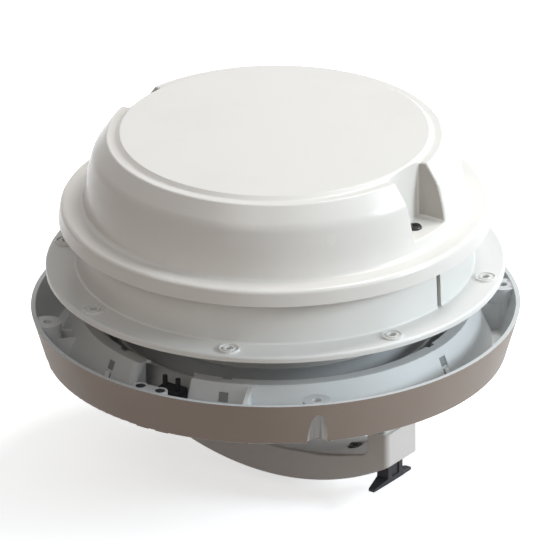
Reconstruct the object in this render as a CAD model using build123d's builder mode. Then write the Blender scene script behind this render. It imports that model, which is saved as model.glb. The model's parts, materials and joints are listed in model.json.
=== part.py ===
from build123d import *
from math import cos, radians, sin, sqrt
import os

# Powered roof vent for a caravan or camper. A round roof base carries a fan in its
# throat, a domed lid is pushed up and pulled down by a handle bar under the ceiling,
# and a trim ring covers the hole in the ceiling. All sizes are in millimetres.
#
# Frame: the origin is the centre of the roof flange's underside, +Z points out of the
# roof, +X runs along the handle bar and -Y points at the wiring gap of the trim ring.

# Fits that every piece shares
gap = 0.3                  # between pieces that pass or nearly touch
seat_gap = 0.02            # radial play of a piece pushed on or in
run_gap = 0.05             # radial play of a turning shaft
over = 1.0                 # how far a cut runs past the faces that it opens

# The roof and the lift
roof_space = 22.5          # flange underside to the trim ring's rim
lift_travel = 34.0         # how far the lid rises

# Roof base: flange, collar and throat in one moulding
flange_width = 17.0        # past the collar's foot
flange_thickness = 3.4
flange_edge_round = 1.5
collar_space = 30.3        # from the throat's outside to the collar's top
collar_lean = 1.1          # how far the foot stands out past the top
collar_height = 30.0
collar_wall = 2.5
collar_foot_round = 1.2
collar_slot_width = 3.6
throat_radius = 78.2
throat_wall = 2.5
throat_depth = 36.0        # below the flange underside
throat_rise = 16.6         # above the flange
screw_edge_distance = 8.2  # from the flange's edge to the screws
screw_count = 8
screw_ring_radius = 5.4
screw_ring_height = 1.0
screw_recess_radius = 3.2
screw_recess_depth = 2.0
screw_hole_radius = 2.2
lug_count = 6
lug_width = 8.0
lug_reach = 2.0
lug_height = 2.0
shroud_boss_offset = 4.2   # from the throat's outside
shroud_boss_radius = 4.0
shroud_screw_count = 4

# Gasket under the flange
gasket_boss_gap = 1.6      # past the shroud's bosses
gasket_width = 17.0
gasket_thickness = 1.6

# Lid
lid_wall = 2.5
lid_overlap = 3.1          # of the skirt over the collar
lid_skirt_reach = 10.7      # past the collar's top edge
lid_rim_reach = 9.4        # past the collar's top edge
lid_rim_height = 9.2
lid_rim_round = 3.0
lid_wall_foot_inset = 2.7  # from the collar's top edge
lid_wall_foot_round = 2.6
lid_waist_inset = 2.6      # from the foot of the dome's wall
lid_waist_height = 17.0    # above the rim
lid_hip_inset = 5.8
lid_hip_height = 29.0
lid_ridge_inset = 13.4
lid_ridge_height = 39.8
lid_side_round = 60.0
lid_hip_round = 18.0
lid_ridge_round = 1.6
lid_cove_inset = 18.0
lid_cove_height = 39.8
lid_cove_round = 2.4
lid_disc_inset = 20.7
lid_disc_height = 42.0
lid_disc_round = 1.0
lid_crown_height = 43.8
lid_seal_width = 5.5
pocket_half_width = 15.0
pocket_reach = 19.8        # inwards from the foot of the dome's wall
pocket_floor_height = 7.5  # above the rim
pocket_corner_round = 3.0
pocket_edge_round = 1.5
pocket_rim_round = 1.2
pocket_floor_thickness = 2.5
lid_screw_inset = 12.3     # from the foot of the dome's wall

# Beam under the lid
beam_end_inset = 7.8       # from the foot of the dome's wall
beam_half_width = 11.0
beam_end_length = 40.0
beam_waist_half_width = 8.0
beam_height = 6.5
beam_wall = 2.0
beam_disc_radius = 22.0
beam_block_length = 13.0

# Stems between the beam and the handle
stem_shroud_gap = 3.7      # between the shroud and a stem
stem_thickness = 6.0
stem_half_width = 6.0
stem_edge_round = 1.0
foot_reach = 8.4           # past the stem's outer face
foot_half_width = 14.0
foot_thickness = 3.0
foot_clearance = 0.8       # under the sleeve's web with the lid up
foot_corner_round = 2.0
foot_screw_y = 11.8

# Fan shroud
shroud_space = 13.0        # between the throat's inside and the shroud's bore
shroud_wall = 1.8
shroud_drop = 24.0         # below the flange underside
shroud_ring_margin = 4.5   # past the middle of the bosses
shroud_ring_thickness = 2.5
bridge_height = 8.0        # underside of the motor plate
bridge_thickness = 3.0
bridge_arm_count = 3
bridge_arm_width = 5.0
bridge_arm_depth = 7.0
motor_plate_radius = 21.0

# Guide bushes for the stems
bush_wall = 1.2
bush_lip = 1.2
bush_lip_height = 2.0

# Motor
motor_radius = 18.0
motor_length = 23.0
motor_edge_round = 2.0
motor_boss_radius = 6.0
motor_cap_radius = 7.0
motor_cap_height = 1.5
motor_screw_circle = 12.5
shaft_radius = 1.6
bush_radius = 4.0
shaft_top_share = 0.75     # of the motor's length

# Fan
blade_count = 7
blade_tip_gap = 1.2        # to the shroud's bore
hub_radius = 20.0
hub_wall = 3.5
hub_top = 3.5              # above the flange underside
hub_bottom = -20.0
hub_nose_thickness = 3.0
hub_nose_round = 3.0
hub_boss_radius = 4.5
blade_root_chord = 22.0
blade_tip_chord = 31.0
blade_root_pitch = 42.0
blade_tip_pitch = 24.0
blade_camber = 3.4
blade_thickness = 1.9
blade_root_share = 0.86    # of the hub radius, where the blade starts
nut_radius = 4.2
nut_height = 2.6
shaft_end = 1.4            # past the nut

# Insect screen
screen_thickness = 1.5
screen_rim = 2.6
screen_centre_radius = 9.0
screen_ring_count = 5
screen_slots = (10, 16, 22, 28, 36)
screen_ring_web = 1.6
screen_spoke = 2.0

# Sleeve on the throat
sleeve_wall = 2.0
sleeve_grip = 10.0         # of the throat
sleeve_web = 2.0
sleeve_reach = 9.5         # of the outer tube, past the throat's outside
sleeve_drop = 12.0         # of the outer tube, below the web

# Trim ring on the ceiling
trim_lean = 7.7            # how far the rim stands out past the foot
trim_foot_width = 7.8      # from the cone's foot to the trim's foot
trim_height = 26.2
trim_wall = 2.5
trim_floor = 2.5
trim_foot_round = 1.4
cone_space = 19.0          # between the spigot and the top of the cone
cone_spread = 10.5         # how far the cone's foot stands out past its top
cone_wall = 2.0
ledge_width = 6.6
ledge_thickness = 2.0
ledge_rise = 1.0           # above the rim
spigot_wall = 2.0
spigot_height = 17.0       # above the trim's underside
boss_inset = 7.5           # from the rim to the middle of a boss
boss_radius = 7.7
boss_hole_radius = 2.4
boss_count = 4
boss_start_angle = 45.0
boss_below_rim = 0.3
scallop_radius = 5.5
scallop_height = 19.2
gusset_thickness = 2.0
gusset_spread = 5.5
gusset_below_rim = 8.8
window_size = 5.5
window_depth = 1.2
window_below_rim = 3.8
window_angles = (0, 70, 110, 180, 251, 290)
light_slot_width = 2.4
light_slot_height = 7.5
light_slot_angles = (0, 180, 251)
rib_angle = 297.5
rib_below_rim = 0.6
wiring_half_width = 17.0
wiring_angle = 271.0
twin_boss_radius = 4.2
twin_hole_radius = 2.9
twin_inset = 6.4           # from the rim to the middle of a twin boss
twin_angles = (269.8, 275.4)
twin_below_rim = 0.3
twin_hole_depth = 8.5

# Terminal block in the wiring gap
block_length = 14.5
block_width = 10.0
block_height = 12.5
block_inset = 7.0          # from the top of the cone to the middle of the block
block_angle = 270.8
block_edge_round = 1.0
post_radius = 1.4
post_height = 6.0
post_spread = 4.3
post_seat = 4.0

# Handle bar
bar_end_margin = 2.1       # past the feet
bar_half_width = 15.0
bar_upright = 13.8
bar_arch_radius = 159.0
bar_depth = 44.1           # from the shoulders to the lowest line
bar_grip_depth = 25.9      # from the shoulders to the floor of the grip
bar_grip_radius = 229.0
bar_grip_round = 5.0
bar_end_round = 3.5
bar_edge_round = 1.5
cavity_end_wall = 10.9     # to the inner face of the upright
cavity_half_width = 12.0
cavity_roof = 3.0
cover_thickness = 2.5
cover_boss_radius = 4.0
handle_screw_inset = 7.0   # from the end of the cavity
handle_recess_radius = 4.8
handle_recess_depth = 1.4

# Rocker switch in the handle cover
switch_half_length = 10.5
switch_half_width = 7.0
switch_wall = 1.4
switch_bezel = 1.6
switch_bezel_drop = 1.4
switch_depth = 11.5
rocker_crown = 2.2
pivot_radius = 1.1
pivot_rise = 4.0           # above the handle's lowest line

# Latches in the ends of the handle
latch_thickness = 7.6
latch_half_width = 6.9
latch_inset = 8.7          # from the end of the bar
latch_head_half_width = 9.0
latch_head_height = 6.0
latch_head_depth = 18.2    # from the shoulders to the underside of the head at rest
latch_plate_depth = 30.6   # from the shoulders to the underside of the stem at rest
latch_plate_half_width = 18.0
latch_plate_thickness = 3.0
latch_tip_drop = 2.8
latch_tip_half_width = 1.8
latch_tip_thickness = 1.6
latch_travel = 3.5
latch_spring_radius = 3.2
latch_spring_bore = 2.2

# Pan head screws
screw_radius = 1.5
screw_head_radius = 2.8
screw_head_height = 1.8
screw_edge_round = 0.5
screw_slot_width = 0.8
screw_slot_depth = 0.8

# Radii, places and levels that follow from the sizes above
collar_top_radius = throat_radius + collar_space
collar_foot_radius = collar_top_radius + collar_lean
flange_radius = collar_foot_radius + flange_width
screw_circle = flange_radius - screw_edge_distance
collar_top = flange_thickness + collar_height
throat_inner = throat_radius - throat_wall
throat_top = flange_thickness + throat_rise
shroud_boss_circle = throat_radius + shroud_boss_offset
shroud_ring_radius = shroud_boss_circle + shroud_ring_margin
gasket_inner_radius = shroud_boss_circle + shroud_boss_radius + gasket_boss_gap
gasket_outer_radius = gasket_inner_radius + gasket_width
lid_bottom = collar_top - lid_overlap
lid_skirt_radius = collar_top_radius + lid_skirt_reach
lid_rim_radius = collar_top_radius + lid_rim_reach
lid_wall_foot_radius = collar_top_radius - lid_wall_foot_inset
lid_waist_radius = lid_wall_foot_radius - lid_waist_inset
lid_hip_radius = lid_wall_foot_radius - lid_hip_inset
lid_ridge_radius = lid_wall_foot_radius - lid_ridge_inset
lid_cove_radius = lid_wall_foot_radius - lid_cove_inset
lid_disc_radius = lid_wall_foot_radius - lid_disc_inset
lid_screw_x = lid_wall_foot_radius - lid_screw_inset
lid_rim = lid_bottom + lid_rim_height
pocket_inner_x = lid_wall_foot_radius - pocket_reach
pocket_floor = lid_rim + pocket_floor_height
beam_top = pocket_floor - pocket_floor_thickness
beam_bottom = beam_top - beam_height
beam_half_length = lid_wall_foot_radius - beam_end_inset
shroud_inner_radius = throat_inner - shroud_space
shroud_outer = shroud_inner_radius + shroud_wall
shroud_top = throat_top + shroud_ring_thickness
blade_tip_radius = shroud_inner_radius - blade_tip_gap
stem_inner_x = shroud_outer + stem_shroud_gap
stem_outer_x = stem_inner_x + stem_thickness
stem_x = stem_inner_x + stem_thickness / 2
foot_outer_x = stem_outer_x + foot_reach
sleeve_tube_radius = throat_radius + sleeve_reach
spigot_inner = sleeve_tube_radius + gap
cone_top_radius = spigot_inner + spigot_wall + cone_space
cone_foot_radius = cone_top_radius + cone_spread
ledge_inner_radius = cone_top_radius - ledge_width
trim_foot_radius = cone_foot_radius + trim_foot_width
trim_rim_radius = trim_foot_radius + trim_lean
boss_circle = trim_rim_radius - boss_inset
twin_circle = trim_rim_radius - twin_inset
block_circle = cone_top_radius - block_inset
trim_rim = -roof_space
trim_foot = trim_rim - trim_height
trim_floor_top = trim_foot + trim_floor
sleeve_inner = throat_radius + gap
sleeve_bottom = -throat_depth - sleeve_web
shoulder_top = sleeve_bottom - lift_travel - foot_clearance - foot_thickness
foot_top = shoulder_top + foot_thickness
motor_base = bridge_height + bridge_thickness
motor_top = motor_base + motor_length
bar_lowest = shoulder_top - bar_depth
bar_arch_centre = bar_lowest + bar_arch_radius
bar_grip_floor = shoulder_top - bar_grip_depth
bar_grip_centre = bar_grip_floor + bar_grip_radius
bar_half_length = foot_outer_x + bar_end_margin
grip_half_length = bar_half_length - bar_upright
cavity_half_length = grip_half_length - cavity_end_wall
handle_screw_x = cavity_half_length - handle_screw_inset
latch_centre_x = bar_half_length - latch_inset
latch_head_z = shoulder_top - latch_head_depth
latch_head_top = latch_head_z + latch_head_height
latch_plate_z = shoulder_top - latch_plate_depth
sides = (-1, 1)


def arch_level(x):
    """Height of the handle's underside at a distance x from its middle."""
    return bar_arch_centre - sqrt(bar_arch_radius**2 - x**2)


def grip_level(x):
    """Height of the handle's grip surface at a distance x from its middle."""
    return bar_grip_centre - sqrt(bar_grip_radius**2 - x**2)


def write(piece, name):
    """Label a finished piece and write it to its own STEP file."""
    piece.label = name
    export_step(piece, f"parts/{name}.step")
    return piece


def pan_screw(seat, length, places, head_up=True):
    """Slotted pan head screws: seat is the level under the head, places are (x, y)."""
    turn = 1 if head_up else -1
    with BuildPart() as screws:
        with BuildSketch(Plane.XY.offset(seat)):
            with Locations(*places):
                Circle(screw_head_radius)
        extrude(amount=turn * screw_head_height)
        rims = screws.edges().filter_by(GeomType.CIRCLE).group_by(Axis.Z)
        fillet(rims[-1] if head_up else rims[0], screw_edge_round)
        with BuildSketch(Plane.XY.offset(seat + turn * screw_head_height)):
            with Locations(*places):
                Rectangle(screw_head_radius, screw_slot_width)
        extrude(amount=-turn * screw_slot_depth, mode=Mode.SUBTRACT)
        with BuildSketch(Plane.XY.offset(seat)):
            with Locations(*places):
                Circle(screw_radius)
        extrude(amount=-turn * length)
    return screws.part


os.makedirs("parts", exist_ok=True)

# Roof base
with BuildPart() as roof_base:
    with BuildSketch(Plane.XZ):
        with BuildLine():
            FilletPolyline(
                (throat_inner, -throat_depth),
                (throat_radius, -throat_depth),
                (throat_radius, 0),
                (flange_radius, 0),
                (flange_radius, flange_thickness),
                (collar_foot_radius, flange_thickness),
                (collar_top_radius, collar_top),
                (collar_top_radius - collar_wall, collar_top),
                (collar_foot_radius - collar_wall, flange_thickness),
                (throat_radius, flange_thickness),
                (throat_radius, throat_top),
                (throat_inner, throat_top),
                radius=(0, 0, 0, 0, flange_edge_round, collar_foot_round, 0, 0,
                        collar_foot_round, collar_foot_round, 0, 0),
                close=True,
            )
        make_face()
    revolve(axis=Axis.Z)
    # Raised rings round the flange screw holes
    with BuildSketch(Plane.XY.offset(flange_thickness)):
        with PolarLocations(screw_circle, screw_count, start_angle=180 / screw_count):
            Circle(screw_ring_radius)
    extrude(amount=screw_ring_height)
    with Locations(Location((0, 0, flange_thickness + screw_ring_height))):
        with PolarLocations(screw_circle, screw_count, start_angle=180 / screw_count):
            CounterBoreHole(
                screw_hole_radius, screw_recess_radius, screw_recess_depth,
                depth=flange_thickness + screw_ring_height + over,
            )
    # Bosses beside the throat for the shroud screws
    with BuildSketch(Plane.XY.offset(flange_thickness - collar_foot_round)):
        with PolarLocations(shroud_boss_circle, shroud_screw_count, start_angle=boss_start_angle):
            Circle(shroud_boss_radius)
    extrude(amount=throat_rise + collar_foot_round)
    with BuildSketch(Plane.XY.offset(throat_top)):
        with PolarLocations(shroud_boss_circle, shroud_screw_count, start_angle=boss_start_angle):
            Circle(screw_radius)
    extrude(amount=-throat_rise + collar_foot_round, mode=Mode.SUBTRACT)
    # Small ledges inside the throat that carry the insect screen
    with BuildSketch(Plane.XY.offset(-throat_depth)):
        with PolarLocations(throat_inner - lug_reach / 2, lug_count, start_angle=180 / lug_count):
            Rectangle(lug_reach + throat_wall, lug_width)
        Circle(throat_radius - throat_wall / 2, mode=Mode.INTERSECT)
    extrude(amount=lug_height)
    # Drain slots in the collar, in line with the handle
    with BuildSketch(Plane.XY.offset(flange_thickness)):
        with PolarLocations(collar_foot_radius, len(sides)):
            Rectangle(2 * (collar_wall + collar_foot_radius - collar_top_radius) + over,
                      collar_slot_width)
    extrude(amount=collar_height + over, mode=Mode.SUBTRACT)
    # Groove for the gasket
    with BuildSketch(Plane.XY):
        Circle(gasket_outer_radius + gap)
        Circle(gasket_inner_radius - gap, mode=Mode.SUBTRACT)
    extrude(amount=gasket_thickness, mode=Mode.SUBTRACT)
write(roof_base.part, "roof_base")

with BuildPart() as flange_gasket:
    with BuildSketch(Plane.XY):
        Circle(gasket_outer_radius)
        Circle(gasket_inner_radius, mode=Mode.SUBTRACT)
    extrude(amount=gasket_thickness)
write(flange_gasket.part, "flange_gasket")


# Lid
def dome_outline(inset, drop):
    """Half section of the dome; the hollow's is set in by the wall and runs on below."""
    with BuildSketch(Plane.XZ) as outline:
        with BuildLine():
            FilletPolyline(
                (0, lid_bottom - drop),
                (lid_skirt_radius - inset, lid_bottom - drop),
                (lid_rim_radius - inset, lid_rim - inset),
                (lid_wall_foot_radius - inset, lid_rim - inset),
                (lid_waist_radius - inset, lid_rim + lid_waist_height - inset),
                (lid_hip_radius - inset, lid_rim + lid_hip_height - inset),
                (lid_ridge_radius - inset, lid_rim + lid_ridge_height - inset),
                (lid_cove_radius - inset, lid_rim + lid_cove_height - inset),
                (lid_disc_radius - inset, lid_rim + lid_disc_height - inset),
                (0, lid_rim + lid_crown_height - inset),
                radius=(0, 0, lid_rim_round - inset, lid_wall_foot_round + inset,
                        lid_side_round, lid_hip_round, lid_ridge_round, lid_cove_round,
                        lid_disc_round, 0),
                close=True,
            )
        make_face()
    return outline.sketch


def pocket_block(grow, floor):
    """The notch in the lid's flank at each end, grown by the wall for its lining."""
    inner = pocket_inner_x - grow
    with BuildPart() as pocket:
        with BuildSketch(Plane.XY.offset(floor)):
            for side in sides:
                with Locations((side * (inner + lid_skirt_radius + over) / 2, 0)):
                    Rectangle(lid_skirt_radius + over - inner,
                              2 * (pocket_half_width + grow))
        extrude(amount=lid_crown_height)
        corners = pocket.edges().filter_by(Axis.Z).group_by(SortBy.DISTANCE)[0]
        fillet(corners, pocket_corner_round + grow)
        fillet(pocket.faces().filter_by(Axis.Z).sort_by(Axis.Z)[:len(sides)].edges(),
               pocket_edge_round)
    return pocket.part


hollow_outline = dome_outline(lid_wall, over)
lid_outline = dome_outline(0, 0)
lining_block = pocket_block(lid_wall, beam_top)
notch_block = pocket_block(0, pocket_floor)
with BuildPart() as dome_hollow:
    add(hollow_outline)
    revolve(axis=Axis.Z)
    add(lining_block, mode=Mode.SUBTRACT)
with BuildPart() as dome_lid:
    add(lid_outline)
    revolve(axis=Axis.Z)
    add(notch_block, mode=Mode.SUBTRACT)
    # Soft rim round each notch, above its floor
    notch_rim = dome_lid.edges(Select.LAST).filter_by(GeomType.LINE, reverse=True)
    fillet(notch_rim.filter_by_position(
        Axis.Z, pocket_floor + 2 * pocket_edge_round, lid_rim + lid_crown_height
    ), pocket_rim_round)
    add(dome_hollow.part, mode=Mode.SUBTRACT)
    with BuildSketch(Plane.XY.offset(pocket_floor)):
        with Locations(*[(side * lid_screw_x, 0) for side in sides]):
            Circle(screw_radius + gap)
    extrude(amount=-pocket_floor_thickness, mode=Mode.SUBTRACT)
write(dome_lid.part, "dome_lid")

with BuildPart() as lid_seal:
    with BuildSketch(Plane.XZ):
        with Locations((collar_top_radius - collar_wall / 2, lid_rim - lid_wall)):
            Rectangle(lid_seal_width, lid_rim - lid_wall - collar_top - gap,
                      align=(Align.CENTER, Align.MAX))
    revolve(axis=Axis.Z)
write(lid_seal.part, "lid_seal")

# Beam under the lid, moulded hollow on its underside
with BuildPart() as lid_carrier:
    with BuildSketch(Plane.XY.offset(beam_bottom)) as beam_plan:
        RectangleRounded(2 * beam_half_length, 2 * beam_waist_half_width,
                         beam_waist_half_width - beam_wall)
        with Locations(*[(side * (beam_half_length - beam_end_length / 2), 0) for side in sides]):
            RectangleRounded(beam_end_length, 2 * beam_half_width, beam_half_width - beam_wall)
        Circle(beam_disc_radius)
    extrude(amount=beam_height)
    with BuildSketch(Plane.XY.offset(beam_bottom)):
        offset(beam_plan.sketch.face(), amount=-beam_wall, kind=Kind.INTERSECTION)
        with Locations(*[(side * stem_x, 0) for side in sides],
                       *[(side * lid_screw_x, 0) for side in sides]):
            Rectangle(beam_block_length, 2 * beam_half_width, mode=Mode.SUBTRACT)
    extrude(amount=beam_height - beam_wall, mode=Mode.SUBTRACT)
    with BuildSketch(Plane.XY.offset(beam_top)):
        with Locations(*[(side * stem_x, 0) for side in sides]):
            Circle(screw_radius + gap)
        with Locations(*[(side * lid_screw_x, 0) for side in sides]):
            Circle(screw_radius)
    extrude(amount=-beam_height, mode=Mode.SUBTRACT)
write(lid_carrier.part, "lid_carrier")

lid_screw_places = [(side * lid_screw_x, 0) for side in sides]
lid_screws = pan_screw(pocket_floor, pocket_floor_thickness + beam_height, lid_screw_places)
write(lid_screws, "lid_screws")

# Stems with a foot on the handle's shoulders
stem_screw_depth = 2 * beam_height
foot_screw_depth = 3 * foot_thickness
foot_screw_places = [
    (side * latch_centre_x, end * foot_screw_y) for side in sides for end in sides
]
with BuildPart() as lift_stems:
    for side in sides:
        with BuildSketch(Plane.XY.offset(shoulder_top)):
            with Locations((side * stem_x, 0)):
                Rectangle(stem_thickness, 2 * stem_half_width)
        extrude(amount=beam_bottom - shoulder_top)
    fillet(lift_stems.edges().filter_by(Axis.Z), stem_edge_round)
    with BuildSketch(Plane.XY.offset(shoulder_top)):
        with Locations(*[(side * (stem_inner_x + foot_outer_x) / 2, 0) for side in sides]):
            RectangleRounded(foot_outer_x - stem_inner_x, 2 * foot_half_width, foot_corner_round)
    extrude(amount=foot_thickness)
    with BuildSketch(Plane.XY.offset(beam_bottom)):
        with Locations(*[(side * stem_x, 0) for side in sides]):
            Circle(screw_radius)
    extrude(amount=beam_height - stem_screw_depth, mode=Mode.SUBTRACT)
    with BuildSketch(Plane.XY.offset(foot_top)):
        with Locations(*foot_screw_places):
            Circle(screw_radius)
    extrude(amount=-foot_thickness, mode=Mode.SUBTRACT)
    with BuildSketch(Plane.XY.offset(foot_top)):
        with Locations(*foot_screw_places):
            Circle(screw_head_radius + gap)
    extrude(amount=-screw_head_height, mode=Mode.SUBTRACT)
write(lift_stems.part, "lift_stems")

stem_screws = pan_screw(beam_top, stem_screw_depth, [(side * stem_x, 0) for side in sides])
write(stem_screws, "stem_screws")

# Handle bar: a deep band with a curved underside and two uprights
with BuildPart() as handle_bar:
    with BuildSketch(Plane.XZ):
        with BuildLine():
            ThreePointArc(
                (-bar_half_length, arch_level(bar_half_length)),
                (0, bar_lowest),
                (bar_half_length, arch_level(bar_half_length)),
            )
            Line((bar_half_length, arch_level(bar_half_length)), (bar_half_length, shoulder_top))
            Line((bar_half_length, shoulder_top), (-bar_half_length, shoulder_top))
            Line((-bar_half_length, shoulder_top),
                 (-bar_half_length, arch_level(bar_half_length)))
        make_face()
        with BuildLine():
            ThreePointArc(
                (-grip_half_length, grip_level(grip_half_length)),
                (0, bar_grip_floor),
                (grip_half_length, grip_level(grip_half_length)),
            )
            Line((grip_half_length, grip_level(grip_half_length)),
                 (grip_half_length, shoulder_top + over))
            Line((grip_half_length, shoulder_top + over),
                 (-grip_half_length, shoulder_top + over))
            Line((-grip_half_length, shoulder_top + over),
                 (-grip_half_length, grip_level(grip_half_length)))
        make_face(mode=Mode.SUBTRACT)
    extrude(amount=bar_half_width, both=True)
    upright_edges = handle_bar.edges().filter_by(Axis.Z)
    fillet(upright_edges.group_by(SortBy.DISTANCE)[-1], bar_end_round)
    grip_corners = handle_bar.edges().filter_by(Axis.Y).filter_by_position(
        Axis.X, -grip_half_length - over, grip_half_length + over
    ).filter_by_position(Axis.Z, bar_grip_floor, shoulder_top - over)
    fillet(grip_corners, bar_grip_round)
    # Soft edges along both broad sides, but not where the stems' feet stand
    broad_sides = handle_bar.faces().filter_by(Axis.Y)
    fillet(broad_sides.edges().filter_by_position(
        Axis.Z, bar_lowest - over, shoulder_top - bar_edge_round), bar_edge_round)
    # Hollow for the switch, open downwards
    with BuildSketch(Plane.XZ):
        with BuildLine():
            ThreePointArc(
                (-cavity_half_length, arch_level(cavity_half_length) - over),
                (0, bar_lowest - over),
                (cavity_half_length, arch_level(cavity_half_length) - over),
            )
            Line((cavity_half_length, arch_level(cavity_half_length) - over),
                 (cavity_half_length, grip_level(cavity_half_length) - cavity_roof))
            ThreePointArc(
                (cavity_half_length, grip_level(cavity_half_length) - cavity_roof),
                (0, bar_grip_floor - cavity_roof),
                (-cavity_half_length, grip_level(cavity_half_length) - cavity_roof),
            )
            Line((-cavity_half_length, grip_level(cavity_half_length) - cavity_roof),
                 (-cavity_half_length, arch_level(cavity_half_length) - over))
        make_face()
    extrude(amount=cavity_half_width, both=True, mode=Mode.SUBTRACT)
    # Holes for the cover screws, with a seat for their heads
    with BuildSketch(Plane.XY.offset(grip_level(handle_screw_x) - cavity_roof - over)):
        with Locations(*[(side * handle_screw_x, 0) for side in sides]):
            Circle(screw_radius + gap)
    extrude(amount=cavity_roof + 2 * over, mode=Mode.SUBTRACT)
    with BuildSketch(Plane.XY.offset(grip_level(handle_screw_x) - handle_recess_depth)):
        with Locations(*[(side * handle_screw_x, 0) for side in sides]):
            Circle(handle_recess_radius)
    extrude(amount=handle_recess_depth + over, mode=Mode.SUBTRACT)
    # Latch channels: a narrow neck below and a wide chamber above
    latch_places = [(side * latch_centre_x, 0) for side in sides]
    with BuildSketch(Plane.XY.offset(bar_lowest)):
        with Locations(*latch_places):
            Rectangle(latch_thickness + 2 * gap, 2 * (latch_half_width + gap))
    extrude(amount=shoulder_top - bar_lowest, mode=Mode.SUBTRACT)
    with BuildSketch(Plane.XY.offset(latch_head_z)):
        with Locations(*latch_places):
            Rectangle(latch_thickness + 2 * gap, 2 * (latch_head_half_width + gap))
    extrude(amount=shoulder_top - latch_head_z, mode=Mode.SUBTRACT)
    with BuildSketch(Plane.XY.offset(shoulder_top)):
        with Locations(*foot_screw_places):
            Circle(screw_radius)
    extrude(amount=foot_thickness - foot_screw_depth, mode=Mode.SUBTRACT)
write(handle_bar.part, "handle_bar")

foot_screws = pan_screw(foot_top - screw_head_height, foot_screw_depth - screw_head_height,
                        foot_screw_places)
write(foot_screws, "foot_screws")

# Cover that closes the handle's hollow and holds the switch
with BuildPart() as handle_cover:
    cover_half_length = cavity_half_length - gap
    with BuildSketch(Plane.XZ):
        with BuildLine():
            ThreePointArc(
                (-cover_half_length, arch_level(cover_half_length)),
                (0, bar_lowest),
                (cover_half_length, arch_level(cover_half_length)),
            )
            Line((cover_half_length, arch_level(cover_half_length)),
                 (cover_half_length, arch_level(cover_half_length) + cover_thickness))
            ThreePointArc(
                (cover_half_length, arch_level(cover_half_length) + cover_thickness),
                (0, bar_lowest + cover_thickness),
                (-cover_half_length, arch_level(cover_half_length) + cover_thickness),
            )
            Line((-cover_half_length, arch_level(cover_half_length) + cover_thickness),
                 (-cover_half_length, arch_level(cover_half_length)))
        make_face()
    extrude(amount=cavity_half_width - gap, both=True)
    boss_foot = arch_level(handle_screw_x) + cover_thickness / 2
    boss_head = grip_level(handle_screw_x - cover_boss_radius) - cavity_roof - gap
    with BuildSketch(Plane.XY.offset(boss_foot)):
        with Locations(*[(side * handle_screw_x, 0) for side in sides]):
            Circle(cover_boss_radius)
    extrude(amount=boss_head - boss_foot)
    with BuildSketch(Plane.XY.offset(boss_head)):
        with Locations(*[(side * handle_screw_x, 0) for side in sides]):
            Circle(screw_radius)
    extrude(amount=boss_foot - boss_head + over, mode=Mode.SUBTRACT)
    with BuildSketch(Plane.XY.offset(bar_lowest - over)):
        Rectangle(2 * (switch_half_length + gap), 2 * (switch_half_width + gap))
    extrude(amount=cover_thickness + 2 * over, mode=Mode.SUBTRACT)
write(handle_cover.part, "handle_cover")

handle_screw_seat = grip_level(handle_screw_x) - handle_recess_depth
handle_screws = pan_screw(handle_screw_seat, handle_screw_seat - boss_foot - over - gap,
                          [(side * handle_screw_x, 0) for side in sides])
write(handle_screws, "handle_screws")

# Switch: a housing with a bezel, and the rocker on its pivot
pivot_z = bar_lowest + pivot_rise
bezel_bottom = bar_lowest - switch_bezel_drop
with BuildPart() as switch_housing:
    with BuildSketch(Plane.XY.offset(bar_lowest)):
        Rectangle(2 * switch_half_length, 2 * switch_half_width)
    extrude(amount=switch_depth)
    with BuildSketch(Plane.XY.offset(bezel_bottom)):
        RectangleRounded(2 * (switch_half_length + switch_bezel),
                         2 * (switch_half_width + switch_bezel), switch_bezel)
    extrude(amount=switch_bezel_drop)
    with BuildSketch(Plane.XY.offset(bezel_bottom)):
        Rectangle(2 * (switch_half_length - switch_wall), 2 * (switch_half_width - switch_wall))
    extrude(amount=switch_depth + switch_bezel_drop - switch_wall, mode=Mode.SUBTRACT)
    with BuildSketch(Plane.XZ):
        with Locations((0, pivot_z)):
            Circle(pivot_radius + run_gap)
    extrude(amount=switch_half_width - switch_wall / 2, both=True, mode=Mode.SUBTRACT)
write(switch_housing.part, "switch_housing")

with BuildPart() as switch_rocker:
    rocker_half_length = switch_half_length - switch_wall - 2 * gap
    rocker_half_width = switch_half_width - switch_wall - gap
    rocker_drop = pivot_z - bezel_bottom
    with BuildSketch(Plane.XZ):
        with Locations((0, pivot_z)):
            Circle(rocker_half_length)
        with BuildLine():
            Polyline(
                (-rocker_half_length, pivot_z),
                (rocker_half_length, pivot_z),
                (rocker_half_length, bezel_bottom - rocker_crown),
                (0, bezel_bottom),
                (-rocker_half_length, bezel_bottom - rocker_crown),
                close=True,
            )
        make_face(mode=Mode.INTERSECT)
        with Locations((0, pivot_z)):
            Circle(2 * pivot_radius)
    extrude(amount=rocker_half_width, both=True)
    with BuildSketch(Plane.XZ):
        with Locations((0, pivot_z)):
            Circle(pivot_radius)
    extrude(amount=switch_half_width - switch_wall / 2 - run_gap, both=True)
write(switch_rocker.part, "switch_rocker")


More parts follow.
